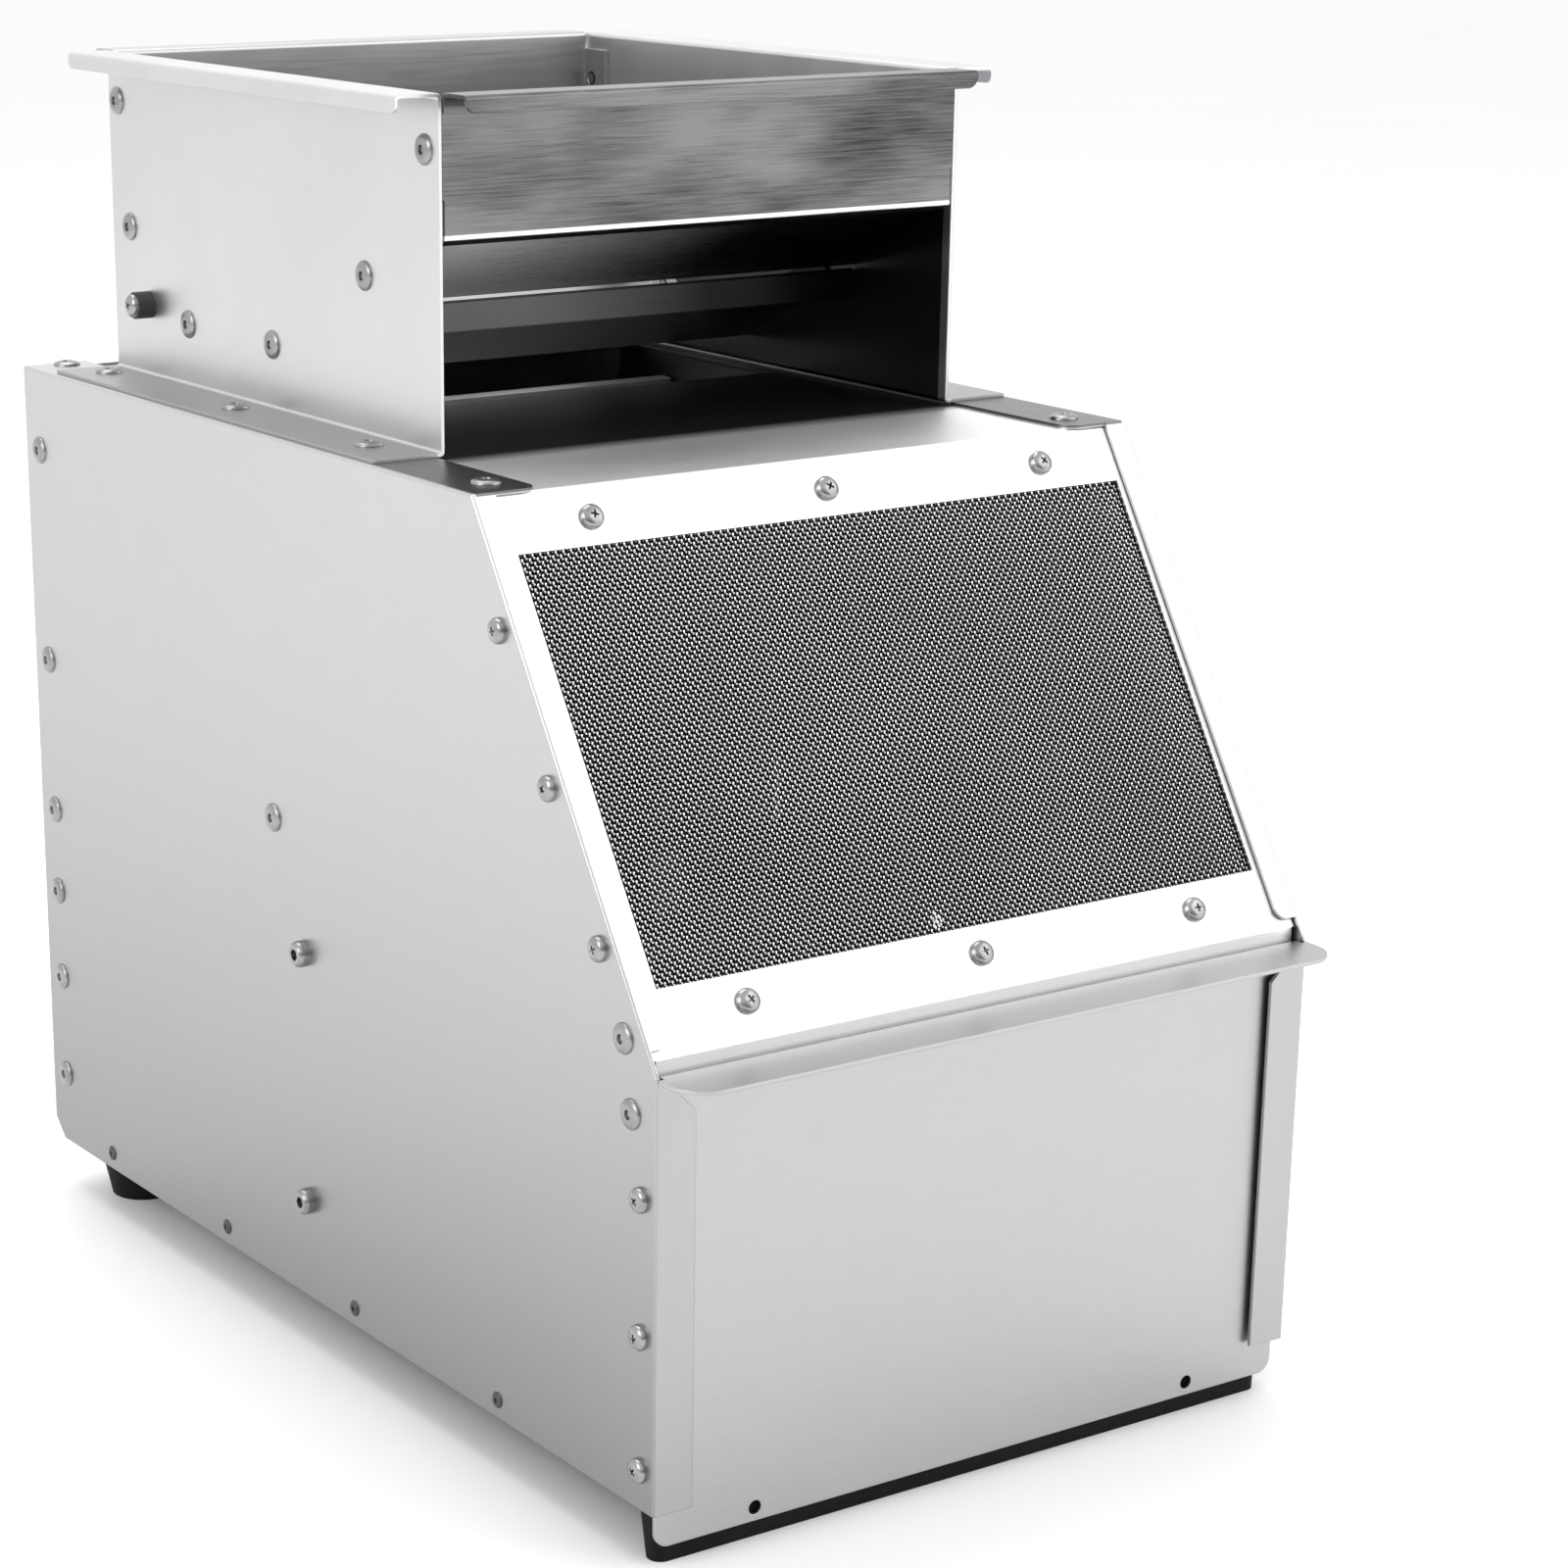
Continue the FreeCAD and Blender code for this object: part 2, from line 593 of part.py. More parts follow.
def mesh_backing_frame():
    """Frame that clamps the cloth from behind, with side flanges for the casing screws."""
    body = new_body("mesh_backing_frame")
    half = f"({INNER}-0.1)"
    low, high = "(window_low-2.6)", "(window_high+2.4)"
    back = f"({PANEL_IN}-cloth_thick-sheet)"
    pad(body, "slant", back, "sheet", rectangle(f"(-{half})", half, low, high))
    for side in (-1, 1):
        pad(body, "slant", f"({back}-10)", f"10", mirrored(side, rectangle(f"({half}-sheet)", half, low, high)))
        pocket(body, "YZ", *side_span(side, f"{half}-sheet-0.1", f"{half}+0.1"), circles=SLANT_SCREWS,
               radius="screw_radius+running")
    pocket(body, "slant", f"({back}-0.1)", "sheet+0.2",
           rectangle("(-window_half+1)", "(window_half-1)", "(window_low+2)", "(window_high-2)"))


mesh_backing_frame()

# ---------------------------------------------------------------- hopper


def hopper_side(label, side):
    """Hopper side plate with its foot flange on the casing and its rim folded out and down."""
    body = new_body(label)
    near, far = f"({HOPPER_HALF}-sheet)", HOPPER_HALF
    wall = rectangle("hopper_front", "hopper_rear", "deck_height", RIM)
    pad(body, "YZ", *side_span(side, near, far), wall)
    foot = rectangle(near, f"({far}+hopper_foot)", "hopper_front", "hopper_rear")
    pad(body, "XY", "deck_height", "sheet", mirrored(side, foot))
    tip = f"({far}+rim_side)"
    rim = rectangle(near, tip, "hopper_front", "hopper_rear")
    pad(body, "XY", f"({RIM}-sheet)", "sheet", mirrored(side, rim))
    lip = rectangle("hopper_front", "hopper_rear", f"({RIM}-rim_lip)", RIM)
    pad(body, "YZ", *side_span(side, f"{tip}-sheet", tip), lip)
    middle = "((hopper_front+hopper_rear)/2)"
    round_edges(body, [(f"({side}*({tip}-sheet/2))", y, f"({RIM}-rim_lip)") for y in ("hopper_front", "hopper_rear")], "2.6")
    round_edges(body, [(f"({side}*{tip})", middle, RIM), (f"({side}*{near})", middle, RIM),
                       (f"({side}*{near})", middle, "deck_height")], "bend_radius*0.8")
    round_edges(body, [(f"({side}*({tip}-sheet))", middle, f"({RIM}-sheet)"),
                       (f"({side}*{far})", middle, f"({RIM}-sheet)"),
                       (f"({side}*{far})", middle, "(deck_height+sheet)")], "0.7")
    centres = FRONT_HOPPER_RIVETS + CHUTE_RIVETS + REAR_HOPPER_RIVETS + STOP_SCREW
    pocket(body, "YZ", *side_span(side, f"{near}-0.1", f"{far}+0.1"), circles=centres, radius="rivet_radius+running")
    pocket(body, "XY", "deck_height-0.1", "sheet+0.2", circles=[(f"({side}*{x})", y) for x, y in FOOT_RIVETS],
           radius="rivet_radius+running")


hopper_side("hopper_left_plate", -1)
hopper_side("hopper_right_plate", 1)
HOPPER_IN = f"({HOPPER_HALF}-sheet-hopper_gap)"
WING_OUT = f"({HOPPER_HALF}-sheet-0.05)"


def hopper_wings(body, outlines, rivets):
    """Side flanges of a hopper plate, riveted to the hopper sides."""
    for side in (-1, 1):
        for outline in outlines:
            pad(body, "YZ", *side_span(side, f"{WING_OUT}-sheet", WING_OUT), outline)
        pocket(body, "YZ", *side_span(side, f"{WING_OUT}-sheet-0.1", f"{WING_OUT}+0.1"), circles=rivets,
               radius="rivet_radius+running")


def hopper_end(label, wall, out, rim, bend, slope, length, rivets):
    """Front or rear hopper plate: folded rim, upright wall, sloping floor and side flanges.

    `wall` is the outer face in Y, `out` is -1 for the front plate and 1 for the rear one.
    """
    body = new_body(label)
    inside = f"({wall}-({out})*sheet)"
    low, high = (wall, inside) if out < 0 else (inside, wall)
    pad(body, "XZ", low, "sheet", rectangle(f"(-{HOPPER_IN})", HOPPER_IN, bend, RIM))
    tip = f"({wall}+({out})*({rim}))"
    rim_low, rim_high = (tip, high) if out < 0 else (low, tip)
    pad(body, "XY", f"({RIM}-sheet)", "sheet",
        rectangle(f"(-{HOPPER_IN})", HOPPER_IN, rim_low, rim_high))
    lip_low = tip if out < 0 else f"({tip}-sheet)"
    pad(body, "XZ", lip_low, "sheet", rectangle(f"(-{HOPPER_IN})", HOPPER_IN, f"({RIM}-rim_lip)", RIM))
    angle, thick = (f"(-{slope})", "sheet") if out < 0 else (f"(180+{slope})", "(-sheet)")
    floor = strip(wall, bend, angle, length, thick)
    pad(body, "YZ", f"(-{HOPPER_IN})", f"(2*{HOPPER_IN})", floor)
    round_edges(body, [(f"({s}*{HOPPER_IN})", f"({lip_low}+sheet/2)", f"({RIM}-rim_lip)") for s in (-1, 1)], "4")
    round_edges(body, [("0", tip, RIM), ("0", inside, RIM)], "bend_radius*0.8")
    round_edges(body, [("0", wall, bend)], "1")
    upright = rectangle(low if out < 0 else f"({high}-15)", f"({low}+15)" if out < 0 else high,
                        f"({bend}+12)", f"({RIM}-6)")
    band = strip(wall, bend, angle, f"({length})", f"(12*({-out}))", "10")
    hopper_wings(body, [upright, band], rivets)


hopper_end("hopper_front_plate", "hopper_front", -1, "rim_front", FRONT_BEND, "front_slope", "front_slope_length",
           FRONT_HOPPER_RIVETS)
hopper_end("hopper_rear_plate", "hopper_rear", 1, "rim_front", REAR_BEND, "rear_slope", "rear_slope_length",
           REAR_HOPPER_RIVETS)


def feed_chute_plate():
    """Lower feed plate: carries on the front slope down to the throat, with a folded front lip."""
    body = new_body("feed_chute_plate")
    drop = f"({FRONT_BEND}-(chute_front-hopper_front)*tan(front_slope)-2*sheet-play)"
    pad(body, "YZ", f"(-{HOPPER_IN})", f"(2*{HOPPER_IN})",
        strip("chute_front", drop, "(-front_slope)", "chute_length", "sheet"),)
    pad(body, "XZ", "chute_front", "sheet",
        rectangle(f"(-{HOPPER_IN})", HOPPER_IN, f"({drop}-chute_lip)", f"({drop}+0.4)"))
    hopper_wings(body, [strip("chute_front", drop, "(-front_slope)", "chute_length", "12", "14")], CHUTE_RIVETS)


feed_chute_plate()

# ---------------------------------------------------------------- feet


def front_foot_bar():
    """Rubber bar across the front, tapered downwards, with rounded ends."""
    body = new_body("front_foot_bar")
    front = f"({GATE_BACK}+play+0.4)"
    section = [(front, "0"), (f"({front}+foot_bar_top)", "0"), (f"({front}+foot_bar_bottom+0.6)", "(-foot_height)"),
               (f"({front}+0.6)", "(-foot_height)")]
    pad(body, "YZ", "(-foot_bar_half)", "(2*foot_bar_half)", section)
    ends = [(f"({s}*foot_bar_half)", y, "(-foot_height/2)")
            for s in (-1, 1) for y in (f"({front}+0.3)", f"({front}+(foot_bar_top+foot_bar_bottom+0.6)/2)")]
    round_edges(body, ends, "4")
    pocket(body, "XY", "(-foot_height+4)", "foot_height-4+0.1", circles=BAR_SCREWS, radius="screw_radius+running")


front_foot_bar()


def rear_foot(name, x):
    """Round tapered rubber foot: a cone with a screw hole."""
    cone = doc.addObject("Part::Cone", f"{name}_cone")
    hole = doc.addObject("Part::Cylinder", f"{name}_hole")
    cone.setExpression("Radius1", bound("rear_foot_tip"))
    cone.setExpression("Radius2", bound("rear_foot_radius"))
    cone.setExpression("Height", bound("foot_height"))
    hole.setExpression("Radius", bound("screw_radius+running"))
    hole.setExpression("Height", bound("foot_height"))
    for part, lift in ((cone, "0"), (hole, "4")):
        part.setExpression("Placement.Base.x", bound(x))
        part.setExpression("Placement.Base.y", bound("rear_foot_y"))
        part.setExpression("Placement.Base.z", bound(f"{lift}-foot_height"))
    return combine(name, "Part::Cut", cone, [hole])


def combine(label, kind, base, tools):
    """Cuts tools from the base, or fuses them to it."""
    if kind == "Part::Cut":
        if len(tools) > 1:
            group = doc.addObject("Part::MultiFuse", f"{label}_tools")
            group.Shapes = tools
            tools = [group]
        part = doc.addObject("Part::Cut", label)
        part.Base = base
        part.Tool = tools[0]
    else:
        part = doc.addObject("Part::MultiFuse", label)
        part.Shapes = [base, *tools]
    return part


def group_of(label, parts):
    """Several identical loose solids as one piece."""
    group = doc.addObject("Part::Compound", label)
    group.Links = parts
    return finish(group, label)


group_of("rear_feet", [rear_foot("left_rear_foot", "-rear_foot_x"), rear_foot("right_rear_foot", "rear_foot_x")])

# ---------------------------------------------------------------- walls that carry the works


def drive_wall():
    """Inner wall on the left: keeps the drive dry, carries the cage, the motor and the left roller bushes."""
    body = new_body("drive_wall")
    start = f"(-{PLATE_X})"
    outline = [("24", "(sheet+play)"), ("24", "60"), ("120", "150"), ("(roller_mid_y-55)", "(deck_height-2*sheet-play)"),
               ("(roller_mid_y+55)", "(deck_height-2*sheet-play)"), ("(casing_depth-24)", "180"),
               ("(casing_depth-24)", "(sheet+play)")]
    pad(body, "YZ", start, "drive_wall_thick", outline)
    pad(body, "XY", "(deck_height-2*sheet-play-drive_wall_thick)", "drive_wall_thick",
        rectangle(f"({start}-10)", start, "(roller_mid_y-50)", "(roller_mid_y+50)"))
    pocket(body, "YZ", f"({start}-0.1)", "drive_wall_thick+0.2",
           circles=[(FRONT_ROLLER_Y, "roller_z"), (REAR_ROLLER_Y, "roller_z")], radius="bush_radius")
    pocket(body, "YZ", f"({start}-0.1)", "drive_wall_thick+0.2", circles=[("beater_y", "beater_z")], radius="11")
    pocket(body, "YZ", f"({start}-0.1)", "drive_wall_thick+0.2", circles=[("motor_y", "motor_z")], radius="12")
    pocket(body, "YZ", f"({start}-0.1)", "drive_wall_thick+0.2", circles=MOTOR_SCREWS, radius="screw_radius+running")
    tie = rectangle(f"(-{INNER}+0.1)", start, "157", "(157+sheet)")
    pad(body, "XZ", "216", "10.5", tie)
    pad(body, "YZ", f"(-{INNER}+0.1)", "sheet", rectangle("216", "226.5", "157", "169"))
    pocket(body, "YZ", f"(-{INNER})", "sheet+0.2", circles=TIE_RIVET, radius="rivet_radius+running")


drive_wall()


def roller_plate():
    """Right-hand wall of the crusher: carries the right roller bushes and guides the fruit to the cage."""
    body = new_body("roller_plate")
    outline = [("(beater_y-30)", "(beater_z+ring_radius+5)"), ("(roller_mid_y-55)", "(deck_height-2*sheet-play)"),
               ("(roller_mid_y+55)", "(deck_height-2*sheet-play)"), ("(roller_mid_y+62)", "232"),
               ("(beater_y+42)", "(beater_z+ring_radius+5)")]
    pad(body, "YZ", "drive_wall_x", "drive_wall_thick", outline)
    pad(body, "XY", "(deck_height-2*sheet-play-drive_wall_thick)", "drive_wall_thick",
        rectangle(PLATE_X, f"({PLATE_X}+10)", "(roller_mid_y-50)", "(roller_mid_y+50)"))
    pocket(body, "YZ", "(drive_wall_x-0.1)", "drive_wall_thick+0.2",
           circles=[(FRONT_ROLLER_Y, "roller_z"), (REAR_ROLLER_Y, "roller_z")], radius="bush_radius")


roller_plate()


def transfer_chute():
    """Chute from below the rollers down to the mouth of the cage."""
    body = new_body("transfer_chute")
    low_y, low_z = "(beater_y+cage_mouth_half+3)", "(beater_z+cage_radius+4)"
    angle = f"atan2(236-{low_z}; roller_mid_y+56-{low_y})"
    length = f"hypot(236-{low_z}; roller_mid_y+56-{low_y})"
    pad(body, "YZ", "(-drive_wall_x+play)", "(2*drive_wall_x-2*play)", strip(low_y, low_z, angle, length, "sheet"))
    for side in (-1, 1):
        wing = strip(low_y, low_z, angle, f"({length}-2)", "12", "20")
        pad(body, "YZ", *side_span(side, "(drive_wall_x-play-sheet)", "(drive_wall_x-play)"), wing)


transfer_chute()

# ---------------------------------------------------------------- crusher rollers


def x_cylinder(name, radius, near, far, y, z):
    """A plain cylinder along X from `near` to `far`."""
    part = doc.addObject("Part::Cylinder", name)
    part.setExpression("Radius", bound(radius))
    part.setExpression("Height", bound(f"({far})-({near})"))
    part.Placement = Placement(Vector(), Rotation(Vector(0, 1, 0), 90))
    for axis, text in zip("xyz", (near, y, z)):
        part.setExpression(f"Placement.Base.{axis}", bound(text))
    return part


def shaft(label, radius, near, far, y, z):
    return finish(x_cylinder(label, radius, near, far, y, z), label, y, z)


def roller(label, y, turn):
    """Fluted crusher roller on its shaft; `turn` sets where its flutes lie."""
    core = x_cylinder(f"{label}_core", "roller_radius", f"-{ROLLER_HALF}", ROLLER_HALF, y, "roller_z")
    tools = [x_cylinder(f"{label}_bore", "roller_shaft_radius", f"-{ROLLER_HALF}-1", f"{ROLLER_HALF}+1", y, "roller_z")]
    for n in range(8):
        angle = f"{turn}+{n}*45"
        tools.append(x_cylinder(f"{label}_flute{n}", "flute_radius", f"-{ROLLER_HALF}-1", f"{ROLLER_HALF}+1",
                                f"{y}+roller_radius*cos({angle})", f"roller_z+roller_radius*sin({angle})"))
    finish(combine(label, "Part::Cut", core, tools), label)


roller("front_roller", FRONT_ROLLER_Y, 0)
roller("rear_roller", REAR_ROLLER_Y, 22.5)
shaft("front_roller_shaft", "roller_shaft_radius", f"-{PLATE_X}-3", f"{PLATE_X}+gear_width+6", FRONT_ROLLER_Y, "roller_z")
shaft("rear_roller_shaft", "roller_shaft_radius", f"-{BELT_TWO_X}-1", f"{PLATE_X}+gear_width+6", REAR_ROLLER_Y,
      "roller_z")


def tube(name, outer, inner, near, far, y, z):
    """A sleeve along X."""
    core = x_cylinder(f"{name}_core", outer, near, far, y, z)
    bore = x_cylinder(f"{name}_bore", inner, f"{near}-1", f"{far}+1", y, z)
    return combine(name, "Part::Cut", core, [bore])


bushes = []
for n, (side, y) in enumerate([(s, y) for s in (-1, 1) for y in (FRONT_ROLLER_Y, REAR_ROLLER_Y)]):
    start, length = side_span(side, "drive_wall_x", PLATE_X)
    bushes.append(tube(f"bush{n}", "bush_radius", "roller_shaft_radius+running", start, f"{start}+{length}", y, "roller_z"))
group_of("roller_bushes", bushes)


def involute_gear(label, y, turn):
    """Spur gear whose flanks are involutes; module = centre distance / teeth."""
    teeth = round(amount("gear_teeth"))
    pitch = amount("roller_radius+roller_gap/2")
    module = 2 * pitch / teeth
    base = pitch * math.cos(math.radians(20))
    tip, root = pitch + 0.9 * module, pitch - 1.2 * module
    half = math.pi / (2 * teeth) - 0.012
    lean = math.tan(math.radians(20)) - math.radians(20)
    flank = []
    for step in range(5):
        radius = max(base, root) + (tip - max(base, root)) * step / 4
        roll = math.sqrt(max(0, (radius / base) ** 2 - 1))
        flank.append((radius, half + lean - (roll - math.atan(roll))))
    outline = []
    for tooth in range(teeth):
        middle = turn + 2 * math.pi * tooth / teeth
        profile = [(root, -half - lean), *[(r, -a) for r, a in flank], *[(r, a) for r, a in reversed(flank)],
                   (root, half + lean)]
        outline += [Vector(0, r * math.cos(middle + a), r * math.sin(middle + a)) for r, a in profile]
    face = Part.Face(Part.makePolygon(outline + outline[:1]))
    width = amount("gear_width")
    blank = face.extrude(Vector(width, 0, 0))
    bore = Part.makeCylinder(amount("roller_shaft_radius"), width, Vector(), Vector(1, 0, 0))
    gear = doc.addObject("Part::Feature", label)
    gear.Shape = blank.cut(bore)
    gear.setExpression("Placement.Base.x", bound(f"{PLATE_X}+3"))
    finish(gear, label, y, "roller_z")


involute_gear("front_roller_gear", FRONT_ROLLER_Y, 0)
involute_gear("rear_roller_gear", REAR_ROLLER_Y, (1 - amount("gear_teeth") % 2) * math.pi / amount("gear_teeth"))

# ---------------------------------------------------------------- destemming cage and beater


def destemming_cage():
    """Perforated drum with a ring at each end, open on top below the chute."""
    axis = ("beater_y", "beater_z")
    left, right, ring = "(-drive_wall_x)", CAGE_END, "sheet*1.5"
    drum = x_cylinder("cage_drum", CAGE_OUT, left, right, *axis)
    rings = [
        x_cylinder("cage_left_ring", "ring_radius", left, f"{left}+{ring}", *axis),
        x_cylinder("cage_right_ring", "ring_radius", f"{right}-{ring}", right, *axis),
    ]
    shell = combine("cage_shell", "Part::MultiFuse", drum, rings)
    tools = [x_cylinder("cage_bore", "cage_radius", f"{left}-1", f"{right}+1", *axis)]
    mouth = doc.addObject("Part::Box", "cage_mouth")
    for size, text in (("Length", "2*drive_wall_x-12"), ("Width", "2*cage_mouth_half"), ("Height", "cage_radius")):
        mouth.setExpression(size, bound(text))
    for axis_name, text in (("x", "6-drive_wall_x"), ("y", "beater_y-cage_mouth_half"), ("z", "beater_z+12")):
        mouth.setExpression(f"Placement.Base.{axis_name}", bound(text))
    tools.append(mouth)
    for degrees in (150, 180, 210, 240, 270, 300, 330, 0, 30):
        for column in range(9):
            hole = doc.addObject("Part::Cylinder", f"cage_hole_{degrees}_{column}")
            hole.setExpression("Radius", bound("cage_hole_radius"))
            hole.setExpression("Height", bound("sheet+6"))
            hole.Placement = Placement(Vector(), Rotation(Vector(1, 0, 0), degrees - 90))
            hole.setExpression("Placement.Base.x", bound(f"17-drive_wall_x+{column}*21.5"))
            hole.setExpression("Placement.Base.y", bound(f"beater_y+(cage_radius-3)*cos({degrees})"))
            hole.setExpression("Placement.Base.z", bound(f"beater_z+(cage_radius-3)*sin({degrees})"))
            tools.append(hole)
    for n, (y, z) in enumerate(STANDOFFS):
        tools.append(x_cylinder(f"cage_screw_hole{n}", "screw_radius+running", f"{right}-3", f"{right}+1", y, z))
    finish(combine("destemming_cage", "Part::Cut", shell, tools), "destemming_cage")


destemming_cage()
group_of("cage_standoffs", [
    tube(f"standoff{n}", "3.5", "screw_radius+running", CAGE_END, INNER, y, z) for n, (y, z) in enumerate(STANDOFFS)
])
shaft("beater_shaft", "beater_shaft_radius", f"-{INNER}+3", f"{INNER}-3", "beater_y", "beater_z")


def beater():
    """Hub with flat paddles set in a spiral, which beat the berries off the stems."""
    body = new_body("beater")
    axis = [("beater_y", "beater_z")]
    pad(body, "YZ", "(5-drive_wall_x)", f"({CAGE_END}+drive_wall_x-7)", circles=axis, radius="hub_radius")
    for n in range(11):
        start = f"(10-drive_wall_x+{n}*17.3)"
        blade = strip("beater_y", "beater_z", n * 72, "paddle_reach", "3", "(hub_radius-2)")
        pad(body, "YZ", start, "paddle_width", blade)
    pocket(body, "YZ", "(4-drive_wall_x)", f"({CAGE_END}+drive_wall_x-5)", circles=axis, radius="beater_shaft_radius")


beater()


def flange_bearing(label, side):
    """Two-bolt flange bearing on the inside of a side panel."""
    body = new_body(label)
    near, far = f"({INNER}-bearing_thick)", f"({INNER}-0.05)"

    def corner(y, z):
        return f"(beater_y+({y}))", f"(beater_z+({z}))"

    outline = [corner(y, z) for y, z in (
        ("-8", "-bolt_half_pitch-4"), ("-4", "-bolt_half_pitch-8"), ("4", "-bolt_half_pitch-8"),
        ("8", "-bolt_half_pitch-4"), ("20", "-9"), ("20", "9"), ("8", "bolt_half_pitch+4"),
        ("4", "bolt_half_pitch+8"), ("-4", "bolt_half_pitch+8"), ("-8", "bolt_half_pitch+4"), ("-20", "9"), ("-20", "-9"),
    )]
    pad(body, "YZ", *side_span(side, near, far), outline)
    through = side_span(side, f"{near}-0.1", f"{far}+0.1")
    pocket(body, "YZ", *through, circles=[("beater_y", "beater_z")], radius="beater_shaft_radius+running")
    pocket(body, "YZ", *through, circles=BEARING_BOLTS, radius="2.5+running")


flange_bearing("left_beater_bearing", -1)
flange_bearing("right_beater_bearing", 1)

# ---------------------------------------------------------------- drive


def motor():
    """Motor housing against the drive wall, its end cover and its shaft."""
    axis = ("motor_y", "motor_z")
    end = "(motor_length-drive_wall_x)"
    housing = x_cylinder("motor_can", "motor_radius", "-drive_wall_x", end, *axis)
    holes = [x_cylinder("motor_bore", "motor_shaft_radius+running", "-drive_wall_x-1", "30-drive_wall_x", *axis)]
    for n, (y, z) in enumerate(MOTOR_SCREWS):
        holes.append(x_cylinder(f"motor_hole{n}", "screw_radius+running", "-drive_wall_x-1", "12-drive_wall_x", y, z))
    finish(combine("motor_housing", "Part::Cut", housing, holes), "motor_housing")
    shaft("motor_end_cover", "motor_radius-4", end, f"{end}+10", *axis)
    shaft("motor_shaft", "motor_shaft_radius", f"-{BELT_X}", "28-drive_wall_x", *axis)


motor()


def pulley(label, radius, bore, outer, y, z):
    """Flat-belt pulley on a shaft, from X = -outer on, as wide as its belt."""
    finish(tube(label, radius, bore, f"-{outer}", f"(belt_width-{outer})", y, z), label)


pulley("motor_pulley", "motor_pulley_radius", "motor_shaft_radius", BELT_X, "motor_y", "motor_z")
pulley("beater_pulley", "beater_pulley_radius", "beater_shaft_radius", BELT_X, "beater_y", "beater_z")
pulley("beater_small_pulley", "small_pulley_radius", "beater_shaft_radius", BELT_TWO_X, "beater_y", "beater_z")
pulley("roller_pulley", "roller_pulley_radius", "roller_shaft_radius", BELT_TWO_X, REAR_ROLLER_Y, "roller_z")


def wrapped(first, second, grow, width):
    """The solid that a belt stretched round two circles would fill: each circle is (Y, Z, radius)."""
    (y1, z1, r1), (y2, z2, r2) = [(y, z, r + grow) for y, z, r in (first, second)]
    heading = math.atan2(z2 - z1, y2 - y1)
    lean = math.acos((r1 - r2) / math.hypot(y2 - y1, z2 - z1))
    quad = []
    for y, z, r, turn in ((y1, z1, r1, lean), (y2, z2, r2, lean), (y2, z2, r2, -lean), (y1, z1, r1, -lean)):
        quad.append(Vector(0, y + r * math.cos(heading + turn), z + r * math.sin(heading + turn)))
    middle = Part.Face(Part.makePolygon(quad + quad[:1])).extrude(Vector(width, 0, 0))
    ends = [Part.makeCylinder(r, width, Vector(0, y, z), Vector(1, 0, 0)) for y, z, r in ((y1, z1, r1), (y2, z2, r2))]
    return middle.fuse(ends).removeSplitter()


def belt(label, outer, first, second):
    """Flat belt round two pulleys, each given as Y, Z and radius."""
    circles = [[amount(text) for text in circle] for circle in (first, second)]
    width = amount("belt_width")
    loop = wrapped(*circles, amount("play+belt_thick"), width).cut(wrapped(*circles, amount("play"), width))
    part = doc.addObject("Part::Feature", label)
    part.Shape = loop.removeSplitter()
    part.setExpression("Placement.Base.x", bound(f"-{outer}"))
    finish(part, label)


belt("motor_belt", BELT_X, ("beater_y", "beater_z", "beater_pulley_radius"),
     ("motor_y", "motor_z", "motor_pulley_radius"))
belt("roller_belt", BELT_TWO_X, ("beater_y", "beater_z", "small_pulley_radius"),
     (REAR_ROLLER_Y, "roller_z", "roller_pulley_radius"))

# ---------------------------------------------------------------- switch and cable gland


def switch_housing():
    """Frame and body of the rocker switch in the rear panel."""
    body = new_body("switch_housing")
    across = ("(switch_x-switch_half_width)", "(switch_x+switch_half_width)")
    up = ("(switch_z-switch_half_height)", "(switch_z+switch_half_height)")
    pad(body, "XZ", "(casing_depth-22)", "22", rectangle(*across, *up))
    pad(body, "XZ", "casing_depth", "2",
        rectangle(f"({across[0]}-2)", f"({across[1]}+2)", f"({up[0]}-2)", f"({up[1]}+2)"))
    well = rectangle(f"({across[0]}+2.6)", f"({across[1]}-2.6)", f"({up[0]}+2.6)", f"({up[1]}-2.6)")
    pocket(body, "XZ", "(casing_depth-12)", "14.1", well)


switch_housing()


def switch_rocker():
    """Rocker of the switch, drawn switched off."""
    body = new_body("switch_rocker")
    profile = []
    for y, z in (("-7", "-3"), ("4", "-10"), ("5", "-9.6"), ("3.6", "0"), ("5", "9.6"), ("4", "10"), ("-7", "3")):
        profile.append((f"(casing_depth-1+({y})*cos(rocker_tilt)-({z})*sin(rocker_tilt))",
                        f"(switch_z+({y})*sin(rocker_tilt)+({z})*cos(rocker_tilt))"))
    pad(body, "YZ", "(switch_x-switch_half_width+3.1)", "(2*switch_half_width-6.2)", profile)


switch_rocker()


def cable_gland():
    """Cord inlet: threaded sleeve with a six-sided nut on each side of the rear panel."""
    body = new_body("cable_gland")
    axis = [("gland_x", "switch_z")]
    pad(body, "XZ", "(casing_depth-sheet-6)", "(sheet+6+gland_out)", circles=axis, radius="gland_radius")
    six = [(f"(gland_x+(gland_radius+3.5)*cos({60 * n}))", f"(switch_z+(gland_radius+3.5)*sin({60 * n}))")
           for n in range(6)]
    pad(body, "XZ", "casing_depth", "(gland_out-2)", six)
    pad(body, "XZ", "(casing_depth-sheet-4)", "4", six)
    pocket(body, "XZ", "(casing_depth-sheet-6.1)", "(sheet+6.2+gland_out)", circles=axis, radius="3.5")


cable_gland()

# ---------------------------------------------------------------- screws, rivets and bolts

